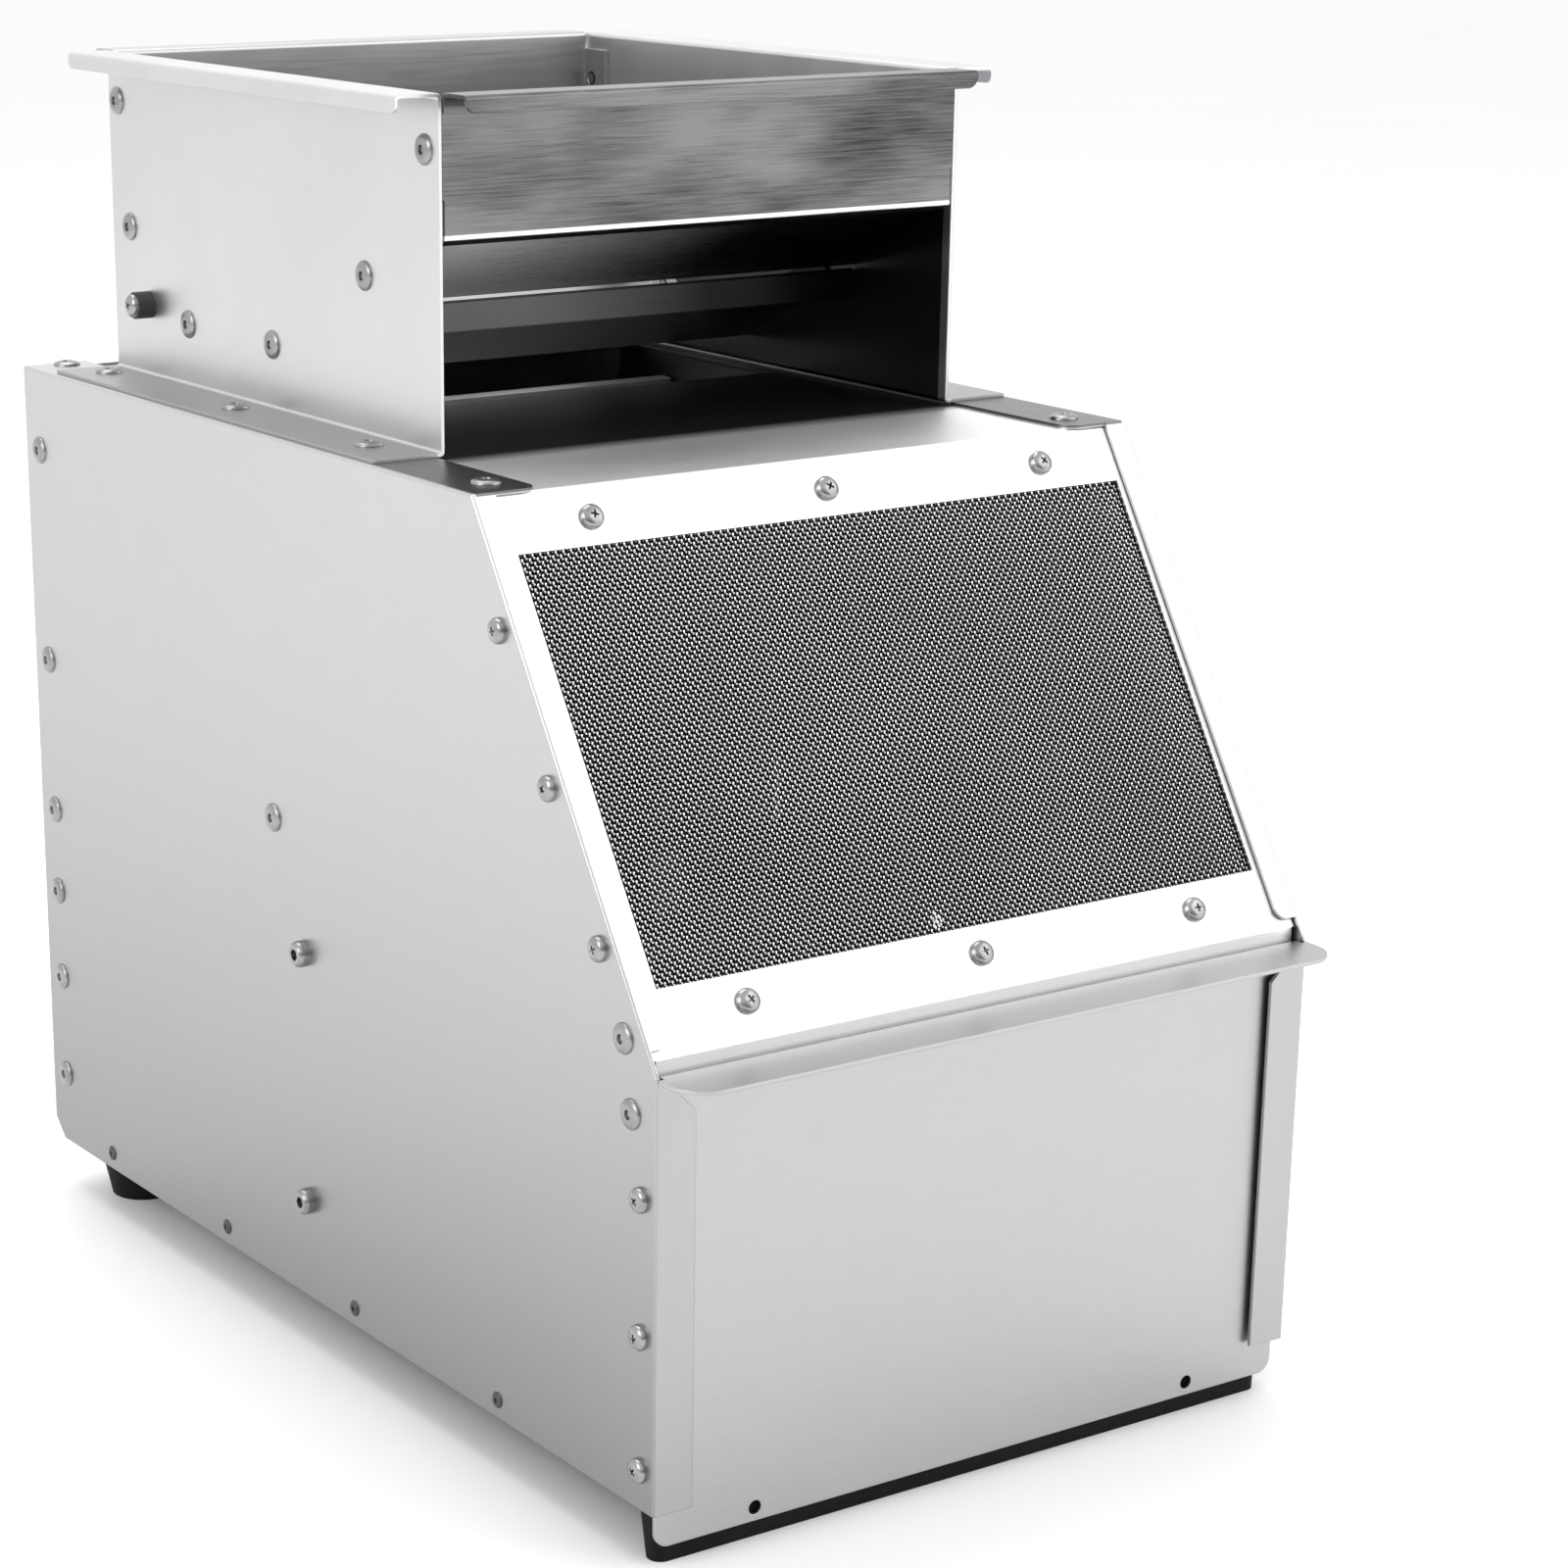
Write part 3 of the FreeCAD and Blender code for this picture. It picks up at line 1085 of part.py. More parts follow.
AIMS = {
    "right": ((0, 1, 0), "90", ("1", "0", "0")),
    "left": ((0, 1, 0), "-90", ("(-1)", "0", "0")),
    "up": ((1, 0, 0), "0", ("0", "0", "1")),
    "down": ((1, 0, 0), "180", ("0", "0", "(-1)")),
    "slant": ((1, 0, 0), SLANT, ("0", f"(-sin({SLANT}))", f"cos({SLANT})")),
}
SCREW = ("screw_head_radius", "(screw_head_radius*0.75)", "screw_head_rise", "screw_radius")
RIVET = ("rivet_head_radius", "(rivet_head_radius*0.6)", "rivet_head_rise", "rivet_radius")
PAN_RIVET = ("pan_rivet_head_radius", "(pan_rivet_head_radius*0.6)", "pan_rivet_head_rise", "rivet_radius")
BOLT = ("bolt_head_radius", "(bolt_head_radius*0.7)", "bolt_head_rise", "2.5")


def fastener(name, kind, aim, spot, length):
    """Tapered head and shank, fused; `spot` is the point under the head and `aim` is where the head looks."""
    wide, narrow, rise, shank = kind
    axis, angle, heading = AIMS[aim]
    head = doc.addObject("Part::Cone", f"{name}_head")
    stem = doc.addObject("Part::Cylinder", f"{name}_stem")
    head.setExpression("Radius1", bound(wide))
    head.setExpression("Radius2", bound(narrow))
    head.setExpression("Height", bound(rise))
    stem.setExpression("Radius", bound(shank))
    stem.setExpression("Height", bound(length))
    for part, back in ((head, "0"), (stem, length)):
        part.Placement = Placement(Vector(), Rotation(Vector(*axis), 45))
        part.setExpression("Placement.Rotation.Angle", bound(angle))
        for letter, start, step in zip("xyz", spot, heading):
            part.setExpression(f"Placement.Base.{letter}", bound(f"{start}-{step}*({back})"))
    return combine(name, "Part::MultiFuse", head, [stem])


def side_fasteners(label, kind, sets, face=HALF, sides=(-1, 1)):
    """Fasteners through the side sheets: each set is (centres, shank length)."""
    parts = []
    for side in sides:
        for centres, length in sets:
            for y, z in centres:
                aim = "right" if side > 0 else "left"
                parts.append(fastener(f"{label}{len(parts)}", kind, aim, (f"({side}*{face})", y, z), length))
    return parts


TWO_SHEETS = "(2*sheet+0.3)"
group_of("casing_screws",
         side_fasteners("casing_screw", SCREW, [(SLANT_SCREWS + GATE_SCREWS, "(2*sheet+4)")])
         + side_fasteners("cage_screw", SCREW, [(STANDOFFS, f"({HALF}-{CAGE_END}+1.8)")], sides=(1,)))
group_of("casing_rivets",
         side_fasteners("casing_rivet", RIVET, [(KNEE_RIVETS + REAR_RIVETS, TWO_SHEETS)])
         + side_fasteners("tie_rivet", RIVET, [(TIE_RIVET, TWO_SHEETS)], sides=(-1,)))
group_of("pan_rivets", side_fasteners("pan_rivet", PAN_RIVET, [(PAN_RIVETS, TWO_SHEETS)]))
group_of("hopper_rivets",
         side_fasteners("hopper_rivet", RIVET, [(FRONT_HOPPER_RIVETS + CHUTE_RIVETS + REAR_HOPPER_RIVETS, TWO_SHEETS)],
                        face=HOPPER_HALF))
group_of("bearing_bolts", side_fasteners("bearing_bolt", BOLT, [(BEARING_BOLTS, "(sheet+bearing_thick)")]))
SPACER = "(hopper_width/2+6)"
group_of("hopper_stop_screws", side_fasteners("hopper_stop_screw", SCREW, [(STOP_SCREW, "(6+2*sheet)")], face=SPACER))
group_of("hopper_stop_spacers", [
    tube(f"spacer{n}", "4.6", "screw_radius+running", f"{near}", f"({near}+6)", *STOP_SCREW[0])
    for n, near in enumerate((f"(-{SPACER})", HOPPER_HALF))
])
group_of("flange_rivets", [
    fastener(f"flange_rivet{side}_{n}", RIVET, "up", (f"({side}*{x})", y, top), length)
    for side in (-1, 1)
    for n, (x, y, top, length) in enumerate(
        [(*spot, "(deck_height+sheet)", "(3*sheet+0.2)") for spot in FOOT_RIVETS]
        + [(*spot, "deck_height", TWO_SHEETS) for spot in FLANGE_RIVETS])
])
group_of("panel_screws", [
    fastener(f"panel_screw{n}", SCREW, "slant", (x, *on_slant(along, PANEL_OUT)), "(2*sheet+3)")
    for n, (x, along) in enumerate(PANEL_SCREWS)
])
group_of("motor_screws", [
    fastener(f"motor_screw{n}", SCREW, "left", (f"(-{PLATE_X})", y, z), "(drive_wall_thick+9)")
    for n, (y, z) in enumerate(MOTOR_SCREWS)
])
group_of("foot_screws", [
    fastener(f"foot_screw{n}", SCREW, "up", (x, y, "sheet"), "(sheet+foot_height-5)")
    for n, (x, y) in enumerate(FOOT_SCREWS)
])

# ---------------------------------------------------------------- checks and files

doc.recompute()
for item in doc.Objects:
    if {"Invalid", "Error"} & set(item.State):
        raise ValueError(f"{item.Label}: {item.State}")
for piece in finished:
    if piece.Shape.isNull() or not piece.Shape.isValid():
        raise ValueError(f"{piece.Label}: no valid shape")
for piece in finished:
    piece.Shape.exportStep(f"parts/{piece.Label}.step")
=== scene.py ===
import math

import bmesh
import bpy
from mathutils import Matrix, Vector


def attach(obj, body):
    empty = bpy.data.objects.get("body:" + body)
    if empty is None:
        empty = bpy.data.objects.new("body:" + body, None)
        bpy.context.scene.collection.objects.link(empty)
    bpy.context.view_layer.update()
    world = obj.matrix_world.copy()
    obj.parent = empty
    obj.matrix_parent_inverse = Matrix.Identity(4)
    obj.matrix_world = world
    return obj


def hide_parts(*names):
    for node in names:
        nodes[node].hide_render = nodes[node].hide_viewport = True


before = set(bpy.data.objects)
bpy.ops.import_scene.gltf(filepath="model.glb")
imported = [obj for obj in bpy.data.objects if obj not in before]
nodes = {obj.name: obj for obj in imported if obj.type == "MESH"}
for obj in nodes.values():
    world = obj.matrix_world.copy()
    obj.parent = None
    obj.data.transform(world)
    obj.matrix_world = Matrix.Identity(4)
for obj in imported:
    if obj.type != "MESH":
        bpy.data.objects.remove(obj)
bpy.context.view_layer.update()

# The room: a plain pale floor, a bright soft room light, one large soft lamp on the left and a smaller one in
# front. The camera stands left of the machine and looks down on it a little.
camera = bpy.data.objects.new("camera", bpy.data.cameras.new("camera"))
bpy.context.scene.collection.objects.link(camera)
bpy.context.scene.camera = camera
azimuth, elevation, roll = math.radians(-33.351), math.radians(18.101), math.radians(0.119)
back = Vector((math.sin(azimuth) * math.cos(elevation), -math.cos(azimuth) * math.cos(elevation),
               math.sin(elevation)))
camera.rotation_mode = "QUATERNION"
camera.rotation_quaternion = (-back).to_track_quat("-Z", "Y")
camera.rotation_quaternion = camera.rotation_quaternion @ Matrix.Rotation(roll, 3, "Z").to_quaternion()
camera.location = (-0.70066, -1.0348, 0.50566)
camera.data.sensor_width = 36
camera.data.lens = 87.237
camera.data.shift_x = 0.125
camera.data.shift_y = 0.15
camera.data.clip_start, camera.data.clip_end = 0.05, 60
bpy.context.scene.view_settings.view_transform = "Standard"

floor_mesh = bpy.data.meshes.new("floor")
shape = bmesh.new()
bmesh.ops.create_grid(shape, x_segments=2, y_segments=2, size=9)
shape.to_mesh(floor_mesh)
shape.free()
floor = bpy.data.objects.new("floor", floor_mesh)
bpy.context.scene.collection.objects.link(floor)


class Wire:
    """One shader socket, with the operators that calculate with it."""

    def __init__(self, coat, socket):
        self.coat = coat
        self.socket = socket

    def math(self, operation, *values):
        return self.coat.node("ShaderNodeMath", {"operation": operation}, *values)

    def __add__(self, other):
        return self.math("ADD", self, other)

    def __sub__(self, other):
        return self.math("SUBTRACT", self, other)

    def __rsub__(self, other):
        return self.math("SUBTRACT", other, self)

    def __mul__(self, other):
        return self.math("MULTIPLY", self, other)

    def size(self):
        return self.math("ABSOLUTE", self)

    def kept(self):
        """The value kept between 0 and 1."""
        return self.math("MINIMUM", self.math("MAXIMUM", self, 0.0), 1.0)

    def __gt__(self, other):
        return self.math("GREATER_THAN", self, other)

    def __lt__(self, other):
        return self.math("LESS_THAN", self, other)

    __radd__ = __add__
    __rmul__ = __mul__


class Coat:
    """A material built from nodes round one Principled shader."""

    def __init__(self, name, **fixed):
        self.material = bpy.data.materials.new(name)
        self.material.use_nodes = True
        self.tree = self.material.node_tree
        self.shader = self.tree.nodes["Principled BSDF"]
        for socket, value in fixed.items():
            self.shader.inputs[socket.replace("_", " ").title().replace("Ior", "IOR")].default_value = value
        self.place = self.node("ShaderNodeTexCoord", {}, out="Object")

    def node(self, kind, settings, *values, out=0, **named):
        """A new node: its settings first, then values or wires for its inputs, by order or by name."""
        made = self.tree.nodes.new(kind)
        for setting, value in settings.items():
            setattr(made, setting, value)
        inputs = list(enumerate(values)) + [(key.replace("_", " "), value) for key, value in named.items()]
        for key, value in inputs:
            socket = made.inputs[key]
            if isinstance(value, Wire):
                self.tree.links.new(value.socket, socket)
            else:
                socket.default_value = value
        return Wire(self, made.outputs[out])

    def stretched(self, x, y, z):
        """Object coordinates scaled along each axis."""
        return self.node("ShaderNodeMapping", {}, Vector=self.place, Scale=(x, y, z))

    def noise(self, where, scale, detail=3.0, rough=0.5):
        return self.node("ShaderNodeTexNoise", {}, Vector=where, Scale=scale, Detail=detail, Roughness=rough)

    def blend(self, amount, first, second):
        """A colour between two colours."""
        made = self.node("ShaderNodeMix", {"data_type": "RGBA"}, Factor=amount, out=2)
        mix = made.socket.node
        for socket, colour in ((mix.inputs[6], first), (mix.inputs[7], second)):
            if isinstance(colour, Wire):
                self.tree.links.new(colour.socket, socket)
            else:
                socket.default_value = (*colour, 1)
        return made

    def finish(self, colour=None, roughness=None, height=None, strength=0.3, distance=0.0002, edge=0.0,
               metal=None):
        """Links what varies to the shader and gives back the material. `edge` is the radius of edges rounded
        by wear.
        """
        for socket, value in (("Base Color", colour), ("Roughness", roughness), ("Metallic", metal)):
            if value is not None:
                self.tree.links.new(value.socket, self.shader.inputs[socket])
        if height is not None:
            wear_and_shade = {"Normal": self.node("ShaderNodeBevel", {"samples": 4}, Radius=edge)} if edge else {}
            bump = self.node("ShaderNodeBump", {}, Height=height, Strength=strength, Distance=distance,
                             **wear_and_shade)
            self.tree.links.new(bump.socket, self.shader.inputs["Normal"])
        return self.material


def painted(material, *names):
    """Gives CAD pieces their finish."""
    for name in names:
        faces = nodes[name].data
        faces.materials.clear()
        faces.materials.append(material)


stone = Coat("pale_floor", roughness=0.6)
clouds = stone.noise(stone.place, 3.0)
floor_mesh.materials.append(stone.finish(
    stone.blend(clouds, (0.90, 0.90, 0.90), (0.93, 0.93, 0.93)), 0.55 + clouds * 0.1, clouds, 0.05, 0.001))

# The room light: white above and behind, grey in front of the machine and low on the right, as in a
# studio bay.
world = bpy.data.worlds.new("room")
bpy.context.scene.world = world
world.use_nodes = True
sky = world.node_tree
direction = sky.nodes.new("ShaderNodeTexCoord")
turn = sky.nodes.new("ShaderNodeVectorMath")
turn.operation = "DOT_PRODUCT"
turn.inputs[1].default_value = (-0.15, 0.45, 0.88)
lift = sky.nodes.new("ShaderNodeMath")
lift.operation = "MULTIPLY_ADD"
lift.inputs[1].default_value = 0.5
lift.inputs[2].default_value = 0.5
shade = sky.nodes.new("ShaderNodeValToRGB")
stops = shade.color_ramp.elements
stops[0].position, stops[0].color = 0.38, (0.26, 0.26, 0.26, 1)
stops[1].position, stops[1].color = 0.66, (1.0, 1.0, 1.0, 1)
sky.links.new(direction.outputs["Generated"], turn.inputs[0])
sky.links.new(turn.outputs["Value"], lift.inputs[0])
sky.links.new(lift.outputs[0], shade.inputs["Fac"])
sky.links.new(shade.outputs[0], sky.nodes["Background"].inputs["Color"])
sky.nodes["Background"].inputs["Strength"].default_value = 1.1


def lamp(name, place, aim, size, power):
    """A square soft lamp that looks at `aim`."""
    light = bpy.data.objects.new(name, bpy.data.lights.new(name, "AREA"))
    bpy.context.scene.collection.objects.link(light)
    light.data.size = size
    light.data.energy = power
    light.location = place
    light.rotation_euler = (Vector(aim) - Vector(place)).to_track_quat("-Z", "Y").to_euler()


lamp("left_lamp", (-2.3, -0.4, 1.5), (0, 0, 0.2), 1.4, 22)
lamp("slope_lamp", (1.10, -1.20, 0.95), (0, -0.15, 0.22), 1.8, 15)
lamp("top_lamp", (0.1, 0.9, 2.4), (0, 0.2, 0.2), 1.6, 26)


# Casing sides: two bent stainless sheets, each with flanges folded over the front, the slanted front and the
# top. The sheet is fine-brushed, with faint clouds from rolling and wiping, and painted darker towards the
# floor as painted shade.
def darker(tone, share):
    """A share of a tone."""
    return tuple(share * part for part in tone)


# All the stainless sheets are one metal. The different tones given to the pieces below are painted light and
# shade: lighter on the deck and the panel frame, darker on the gate, the hopper front, the feed plate and the
# sheets inside.
def stainless(name, along, tone, rough, streaks=0.5, clouds=0.5, scratch=0.0, spread=0.15, wear_and_shade=None):
    """Brushed stainless sheet. `along` is the axis that its grain runs along, `spread` is how far its tone
    varies, and the function given last paints light and shade into the colour, and may set how metallic it
    is."""
    grain_length, cloud_length, scratch_length, across_grain = 45.0, 0.45, 27.0, 1500.0
    axis = "XYZ".index(along)
    coat = Coat(name, metallic=1.0)

    def drawn(across, length):
        scale = [across, across, across]
        scale[axis] = length
        return coat.stretched(*scale)

    grain = coat.noise(drawn(across_grain, grain_length), 1.0, 4.0, 0.6)
    soft = coat.noise(drawn(1.0, cloud_length), 16.0, 3.0, 0.6)
    fine = coat.noise(coat.place, 90.0, 2.0)
    shade = (grain - 0.5) * streaks + (soft - 0.5) * clouds + (fine - 0.5) * 0.1 + 0.5
    light = tuple(min(1.0, part) for part in darker(tone, 1 + spread))
    colour = coat.blend(shade, darker(tone, 1 - spread), light)
    if scratch:
        marks = coat.noise(drawn(0.45 * across_grain, scratch_length), 1.0, 1.0)
        patch = coat.noise(coat.place, 25.0, 2.0)
        colour = coat.blend(((marks > 0.70) * (patch > 0.5)) * scratch, colour, darker(tone, 0.25))
    metal = None
    if wear_and_shade:
        axes = coat.node("ShaderNodeSeparateXYZ", {}, coat.place)
        x, y, z = (Wire(coat, socket) for socket in axes.socket.node.outputs)
        colour, metal = wear_and_shade(coat, colour, x, y, z)
    roughness = rough + (grain - 0.5) * 0.16 + (soft - 0.5) * 0.12
    return coat.finish(colour, roughness, grain, 0.12, 0.0001, 0.0005, metal)


def side_painted_shade(coat, colour, x, y, z):
    """Painted shade: darker towards the floor on the outside, darker on the top flanges, and a little darker
    on the front strips.
    """
    tone, outside, inside_flange, shaded_below = (0.57, 0.575, 0.585), 0.1243, 0.1235, 0.32
    flange_top, flange_end, front_strip = 0.3062, -0.037, -0.1945
    # Painted shade, darker towards the floor.
    low = ((1 - z * (1 / shaded_below)) * (x.size() > outside) * 0.70).kept()
    colour = coat.blend(low, colour, darker(tone, 0.25))
    # Painted shade on the top flanges, and a little on the front strips.
    flange = (z > flange_top) * (y < flange_end) * (x.size() < inside_flange)
    strip = (y < front_strip) * (x.size() < outside)
    return coat.blend(flange * 0.8 + strip * 0.3, colour, darker(tone, 0.1)), None


painted(stainless("side_sheet", "Y", (0.57, 0.575, 0.585), 0.34, 0.20, 0.25, wear_and_shade=side_painted_shade),
        "left_side_panel", "right_side_panel")


# Hopper: four bent plates, riveted at the corners, with rims folded outwards. The front plate is scratched
# where crates rest on it, has a painted highlight along its bend, and underneath it painted light at the left
# and painted black shade at the right.
def hopper_side_painted_shade(coat, colour, x, y, z):
    """Painted black shade inside the throat, and darker on the foot flange."""
    inner_face, foot_edge, foot_top, throat_top, throat_front = 0.09865, 0.1003, 0.3095, 0.3725, -0.034
    # Painted shade: black inside the throat.
    throat = (x.size() < inner_face) * (z < throat_top) * (y > throat_front) * 0.94
    foot = (x.size() > foot_edge) * (z < foot_top) * 0.45
    return coat.blend(throat + foot, colour, (0.02, 0.02, 0.02)), None


def hopper_front_painted_light(coat, colour, x, y, z):
    """A painted highlight along the bend, and under it painted light at the left and painted black shade at
    the right.
    """
    bend_height, bend_width, bend_front, under_front = 0.3728, 0.0011, -0.030, -0.0335
    lit_middle, lit_fade, shade_fade = -0.03, 9.0, 12.0
    under = (z < bend_height - 0.001) * (y > under_front)
    # Painted light: a pale, less metallic patch under the bend at the left.
    lit_patch = under * (0.5 - (x - lit_middle) * lit_fade).kept()
    colour = coat.blend(lit_patch * 0.75, colour, (0.85, 0.85, 0.86))
    # Painted shade: black under the bend towards the right.
    colour = coat.blend(under * (x * shade_fade).kept() * 0.95, colour, (0.01, 0.01, 0.01))
    # Painted highlight along the bend.
    bend = (1 - (z - bend_height).size() * (1 / bend_width)).kept()
    colour = coat.blend((bend * 2.0).kept() * (y < bend_front), colour, (1.0, 1.0, 1.0))
    return colour, 1 - lit_patch * 0.7


def feed_plate_painted_shade(coat, colour, x, y, z):
    """Painted black shade from the middle to the right."""
    shade_from, shade_fade = -0.035, 14.0
    return coat.blend(((x - shade_from) * shade_fade).kept() * 0.97, colour, (0.01, 0.01, 0.01)), None


painted(stainless("hopper_side_sheet", "Z", (0.64, 0.645, 0.655), 0.34, 0.20, 0.45, wear_and_shade=hopper_side_painted_shade),
        "hopper_left_plate", "hopper_right_plate")
painted(stainless("hopper_end_sheet", "X", (0.105, 0.106, 0.109), 0.28, 1.4, 3.6, 0.35, 0.8,
                  hopper_front_painted_light), "hopper_front_plate")
painted(stainless("hopper_rear_sheet", "X", (0.52, 0.525, 0.53), 0.32, 0.6, 0.9, 0.2), "hopper_rear_plate")
painted(stainless("feed_plate_sheet", "X", (0.08, 0.081, 0.083), 0.32, 0.8, 0.5, 0.3, wear_and_shade=feed_plate_painted_shade),
        "feed_chute_plate")


# Deck: a folded sheet, clean in front of the hopper and painted black under it as painted shade.
def deck_painted_shade(coat, colour, x, y, z):
    # Painted shade: black under the hopper.
    shade_from, shade_fade = -0.046, 90.0
    return coat.blend(((y - shade_from) * shade_fade).kept() * 0.97, colour, (0.01, 0.01, 0.01)), None


painted(stainless("deck_sheet", "X", (0.95, 0.955, 0.96), 0.50, 0.3, 0.5, wear_and_shade=deck_painted_shade), "deck_plate")

# Gate, mesh panel frame and rear panel: clean brushed sheet. The sheets inside the casing are painted near
# black as painted shade.
painted(stainless("gate_sheet", "X", (0.45, 0.453, 0.46), 0.36, 0.45, 0.3), "gate")
painted(stainless("panel_frame_sheet", "X", (0.76, 0.765, 0.77), 0.30, 0.4, 0.3), "mesh_panel_frame")
painted(stainless("rear_sheet", "Z", (0.50, 0.505, 0.515), 0.36, 0.4, 0.4), "rear_panel")
painted(stainless("shade_black_inner_sheet", "X", (0.06, 0.06, 0.062), 0.42, 0.5, 0.5),
        "mesh_backing_frame", "knee_rail", "left_gate_guide", "right_gate_guide", "base_pan", "must_tray",
        "motor_bulkhead", "drive_wall", "roller_plate", "transfer_chute", "destemming_cage")


def new_piece(name, shape, material, body, *stands_for, slot=None, smooth=True):
    """Makes a finished mesh a piece that rides on a CAD body."""
    mesh = bpy.data.meshes.new(name)
    shape.to_mesh(mesh)
    shape.free()
    for face in mesh.polygons:
        face.use_smooth = smooth
    mesh.materials.append(material)
    made = bpy.data.objects.new(name, mesh)
    bpy.context.scene.collection.objects.link(made)
    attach(made, body)
    if stands_for:
        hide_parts(*stands_for)
    return made


# Wire cloth: plain-woven stainless wire, square mesh, clamped between the panel frame and the frame behind
# it. Its wires run across the machine and up the slope.
knee = Vector((0, -0.1955, 0.1547))
slope_rise, slope_run = 152.3, 98
slope = math.atan2(slope_rise, slope_run)
slant_way = Vector((0, -math.sin(slope), math.cos(slope)))
slant = Matrix.Translation(knee) @ Matrix.Rotation(slope, 4, "X")
cloth_half, cloth_low, cloth_high = 0.1185, 0.0240, 0.1636
pitch, wire_width, wire_thickness, wave = 0.00135, 0.00056, 0.00034, 0.00024
cloth_out = -0.0031
across = round(2 * cloth_half / pitch)
up = round((cloth_high - cloth_low) / pitch)


def woven_wire(count, phase, turned):
    """One rolled wire of the cloth, `count` crossings long: a four-sided tube that waves over and under."""
    tube = bmesh.new()
    ring = bmesh.ops.create_circle(tube, segments=4, radius=math.sqrt(0.5), cap_ends=False)["verts"]
    bmesh.ops.rotate(tube, verts=ring, cent=(0, 0, 0), matrix=Matrix.Rotation(math.pi / 4, 3, "Z"))
    bmesh.ops.rotate(tube, verts=ring, cent=(0, 0, 0), matrix=Matrix.Rotation(math.pi / 2, 3, "Y"))
    bmesh.ops.scale(tube, verts=ring, vec=(1, wire_width, wire_thickness))
    edges = list(tube.edges)
    for step in range(count):
        ring = bmesh.ops.extrude_edge_only(tube, edges=edges)["geom"]
        edges = [e for e in ring if isinstance(e, bmesh.types.BMEdge)]
        moved = [v for v in ring if isinstance(v, bmesh.types.BMVert)]
        bmesh.ops.translate(tube, verts=moved, vec=(pitch, 0, 0))
    bmesh.ops.holes_fill(tube, edges=[e for e in tube.edges if e.is_boundary])
    for corner in tube.verts:
        corner.co.z += wave * math.cos(math.pi * (corner.co.x / pitch + phase))
    bmesh.ops.recalc_face_normals(tube, faces=tube.faces)
    if turned:
        bmesh.ops.rotate(tube, verts=tube.verts, cent=(0, 0, 0), matrix=Matrix.Rotation(math.pi / 2, 3, "Z"))
    mesh = bpy.data.meshes.new("one_wire")
    tube.to_mesh(mesh)
    tube.free()
    return mesh


def wire_layer(turned, count, lines):
    """All the wires that run one way, each starting half a wave after its neighbour."""
    layer = bmesh.new()
    both = [woven_wire(count, phase, turned) for phase in (0, 1)]
    for line in range(lines + 1):
        start = (-cloth_half + turned * line * pitch, cloth_low + (not turned) * line * pitch, cloth_out)
        strand = both[(line + turned) % 2].copy()
        strand.transform(slant @ Matrix.Translation(start))
        layer.from_mesh(strand)
        bpy.data.meshes.remove(strand)
    for mesh in both:
        bpy.data.meshes.remove(mesh)
    return layer


# The rolled wires are painted bright on the slopes of their crests that face the lower right, as a painted
# highlight, and painted dark elsewhere and in the hollows, as painted shade.
wire_coat = Coat("bright_wire", metallic=0.9)
wire_cloud = wire_coat.noise(wire_coat.place, 18.0, 2.0)
wire_height = wire_coat.node("ShaderNodeVectorMath", {"operation": "DOT_PRODUCT"}, wire_coat.place,
                             tuple(slant_way), out=1)
crest_from, crest_depth = knee.dot(slant_way) + cloth_out + 0.00022, 0.00010
# Painted highlight on the crests, painted shade in the hollows.
crest_light = ((wire_height - crest_from) * (1 / crest_depth)).kept()
wire_normal = wire_coat.node("ShaderNodeNewGeometry", {}, out=1)
# Painted light on the sides of the wires that face the lower right.
lit_side = wire_coat.node("ShaderNodeVectorMath", {"operation": "DOT_PRODUCT"}, wire_normal,
                        (1.0, -math.cos(slope), -math.sin(slope)), out=1)
wire_painted_light = (lit_side * 4.5 + 0.10) * (0.25 + crest_light * 0.75) + (wire_cloud - 0.5) * 0.4
wire_finish = wire_coat.finish(wire_coat.blend(wire_painted_light.kept(), (0.008, 0.008, 0.008), (1.0, 1.0, 1.0)),
                               0.22 + wire_cloud * 0.15)
new_piece("cloth_weft", wire_layer(False, across, up), wire_finish, "casing", "wire_cloth", slot="wire",
          smooth=False)
new_piece("cloth_warp", wire_layer(True, up, across), wire_finish, "casing", "wire_cloth", slot="wire",
          smooth=False)

# Panel and casing screws: M4 pan heads with a cross recess, in bright steel. The recess is a tapered cross,
# and each screw was left at its own angle when it was tightened.
head_radius, head_rise = 0.0040, 0.0026
steel_coat = Coat("screw_steel", metallic=1.0)
steel_marks = steel_coat.noise(steel_coat.place, 700.0, 3.0)
steel_cloud = steel_coat.noise(steel_coat.place, 220.0, 2.0)
screw_steel = steel_coat.finish(steel_coat.blend(steel_cloud, (0.20, 0.20, 0.205), (0.46, 0.46, 0.47)),
                                0.16 + steel_marks * 0.16, steel_marks, 0.15, 0.0001)


def turned_head(profile, segments=28):
    """A head spun round Z from its profile of (radius, height), from rim to middle."""
    shape = bmesh.new()
    points = [shape.verts.new((radius, 0, height)) for radius, height in profile]
    edges = [shape.edges.new(pair) for pair in zip(points, points[1:])]
    bmesh.ops.spin(shape, geom=points + edges, cent=(0, 0, 0), axis=(0, 0, 1), angle=2 * math.pi,
                   steps=segments, use_merge=True)
    bmesh.ops.remove_doubles(shape, verts=shape.verts, dist=1e-6)
    bmesh.ops.recalc_face_normals(shape, faces=shape.faces)
    return shape


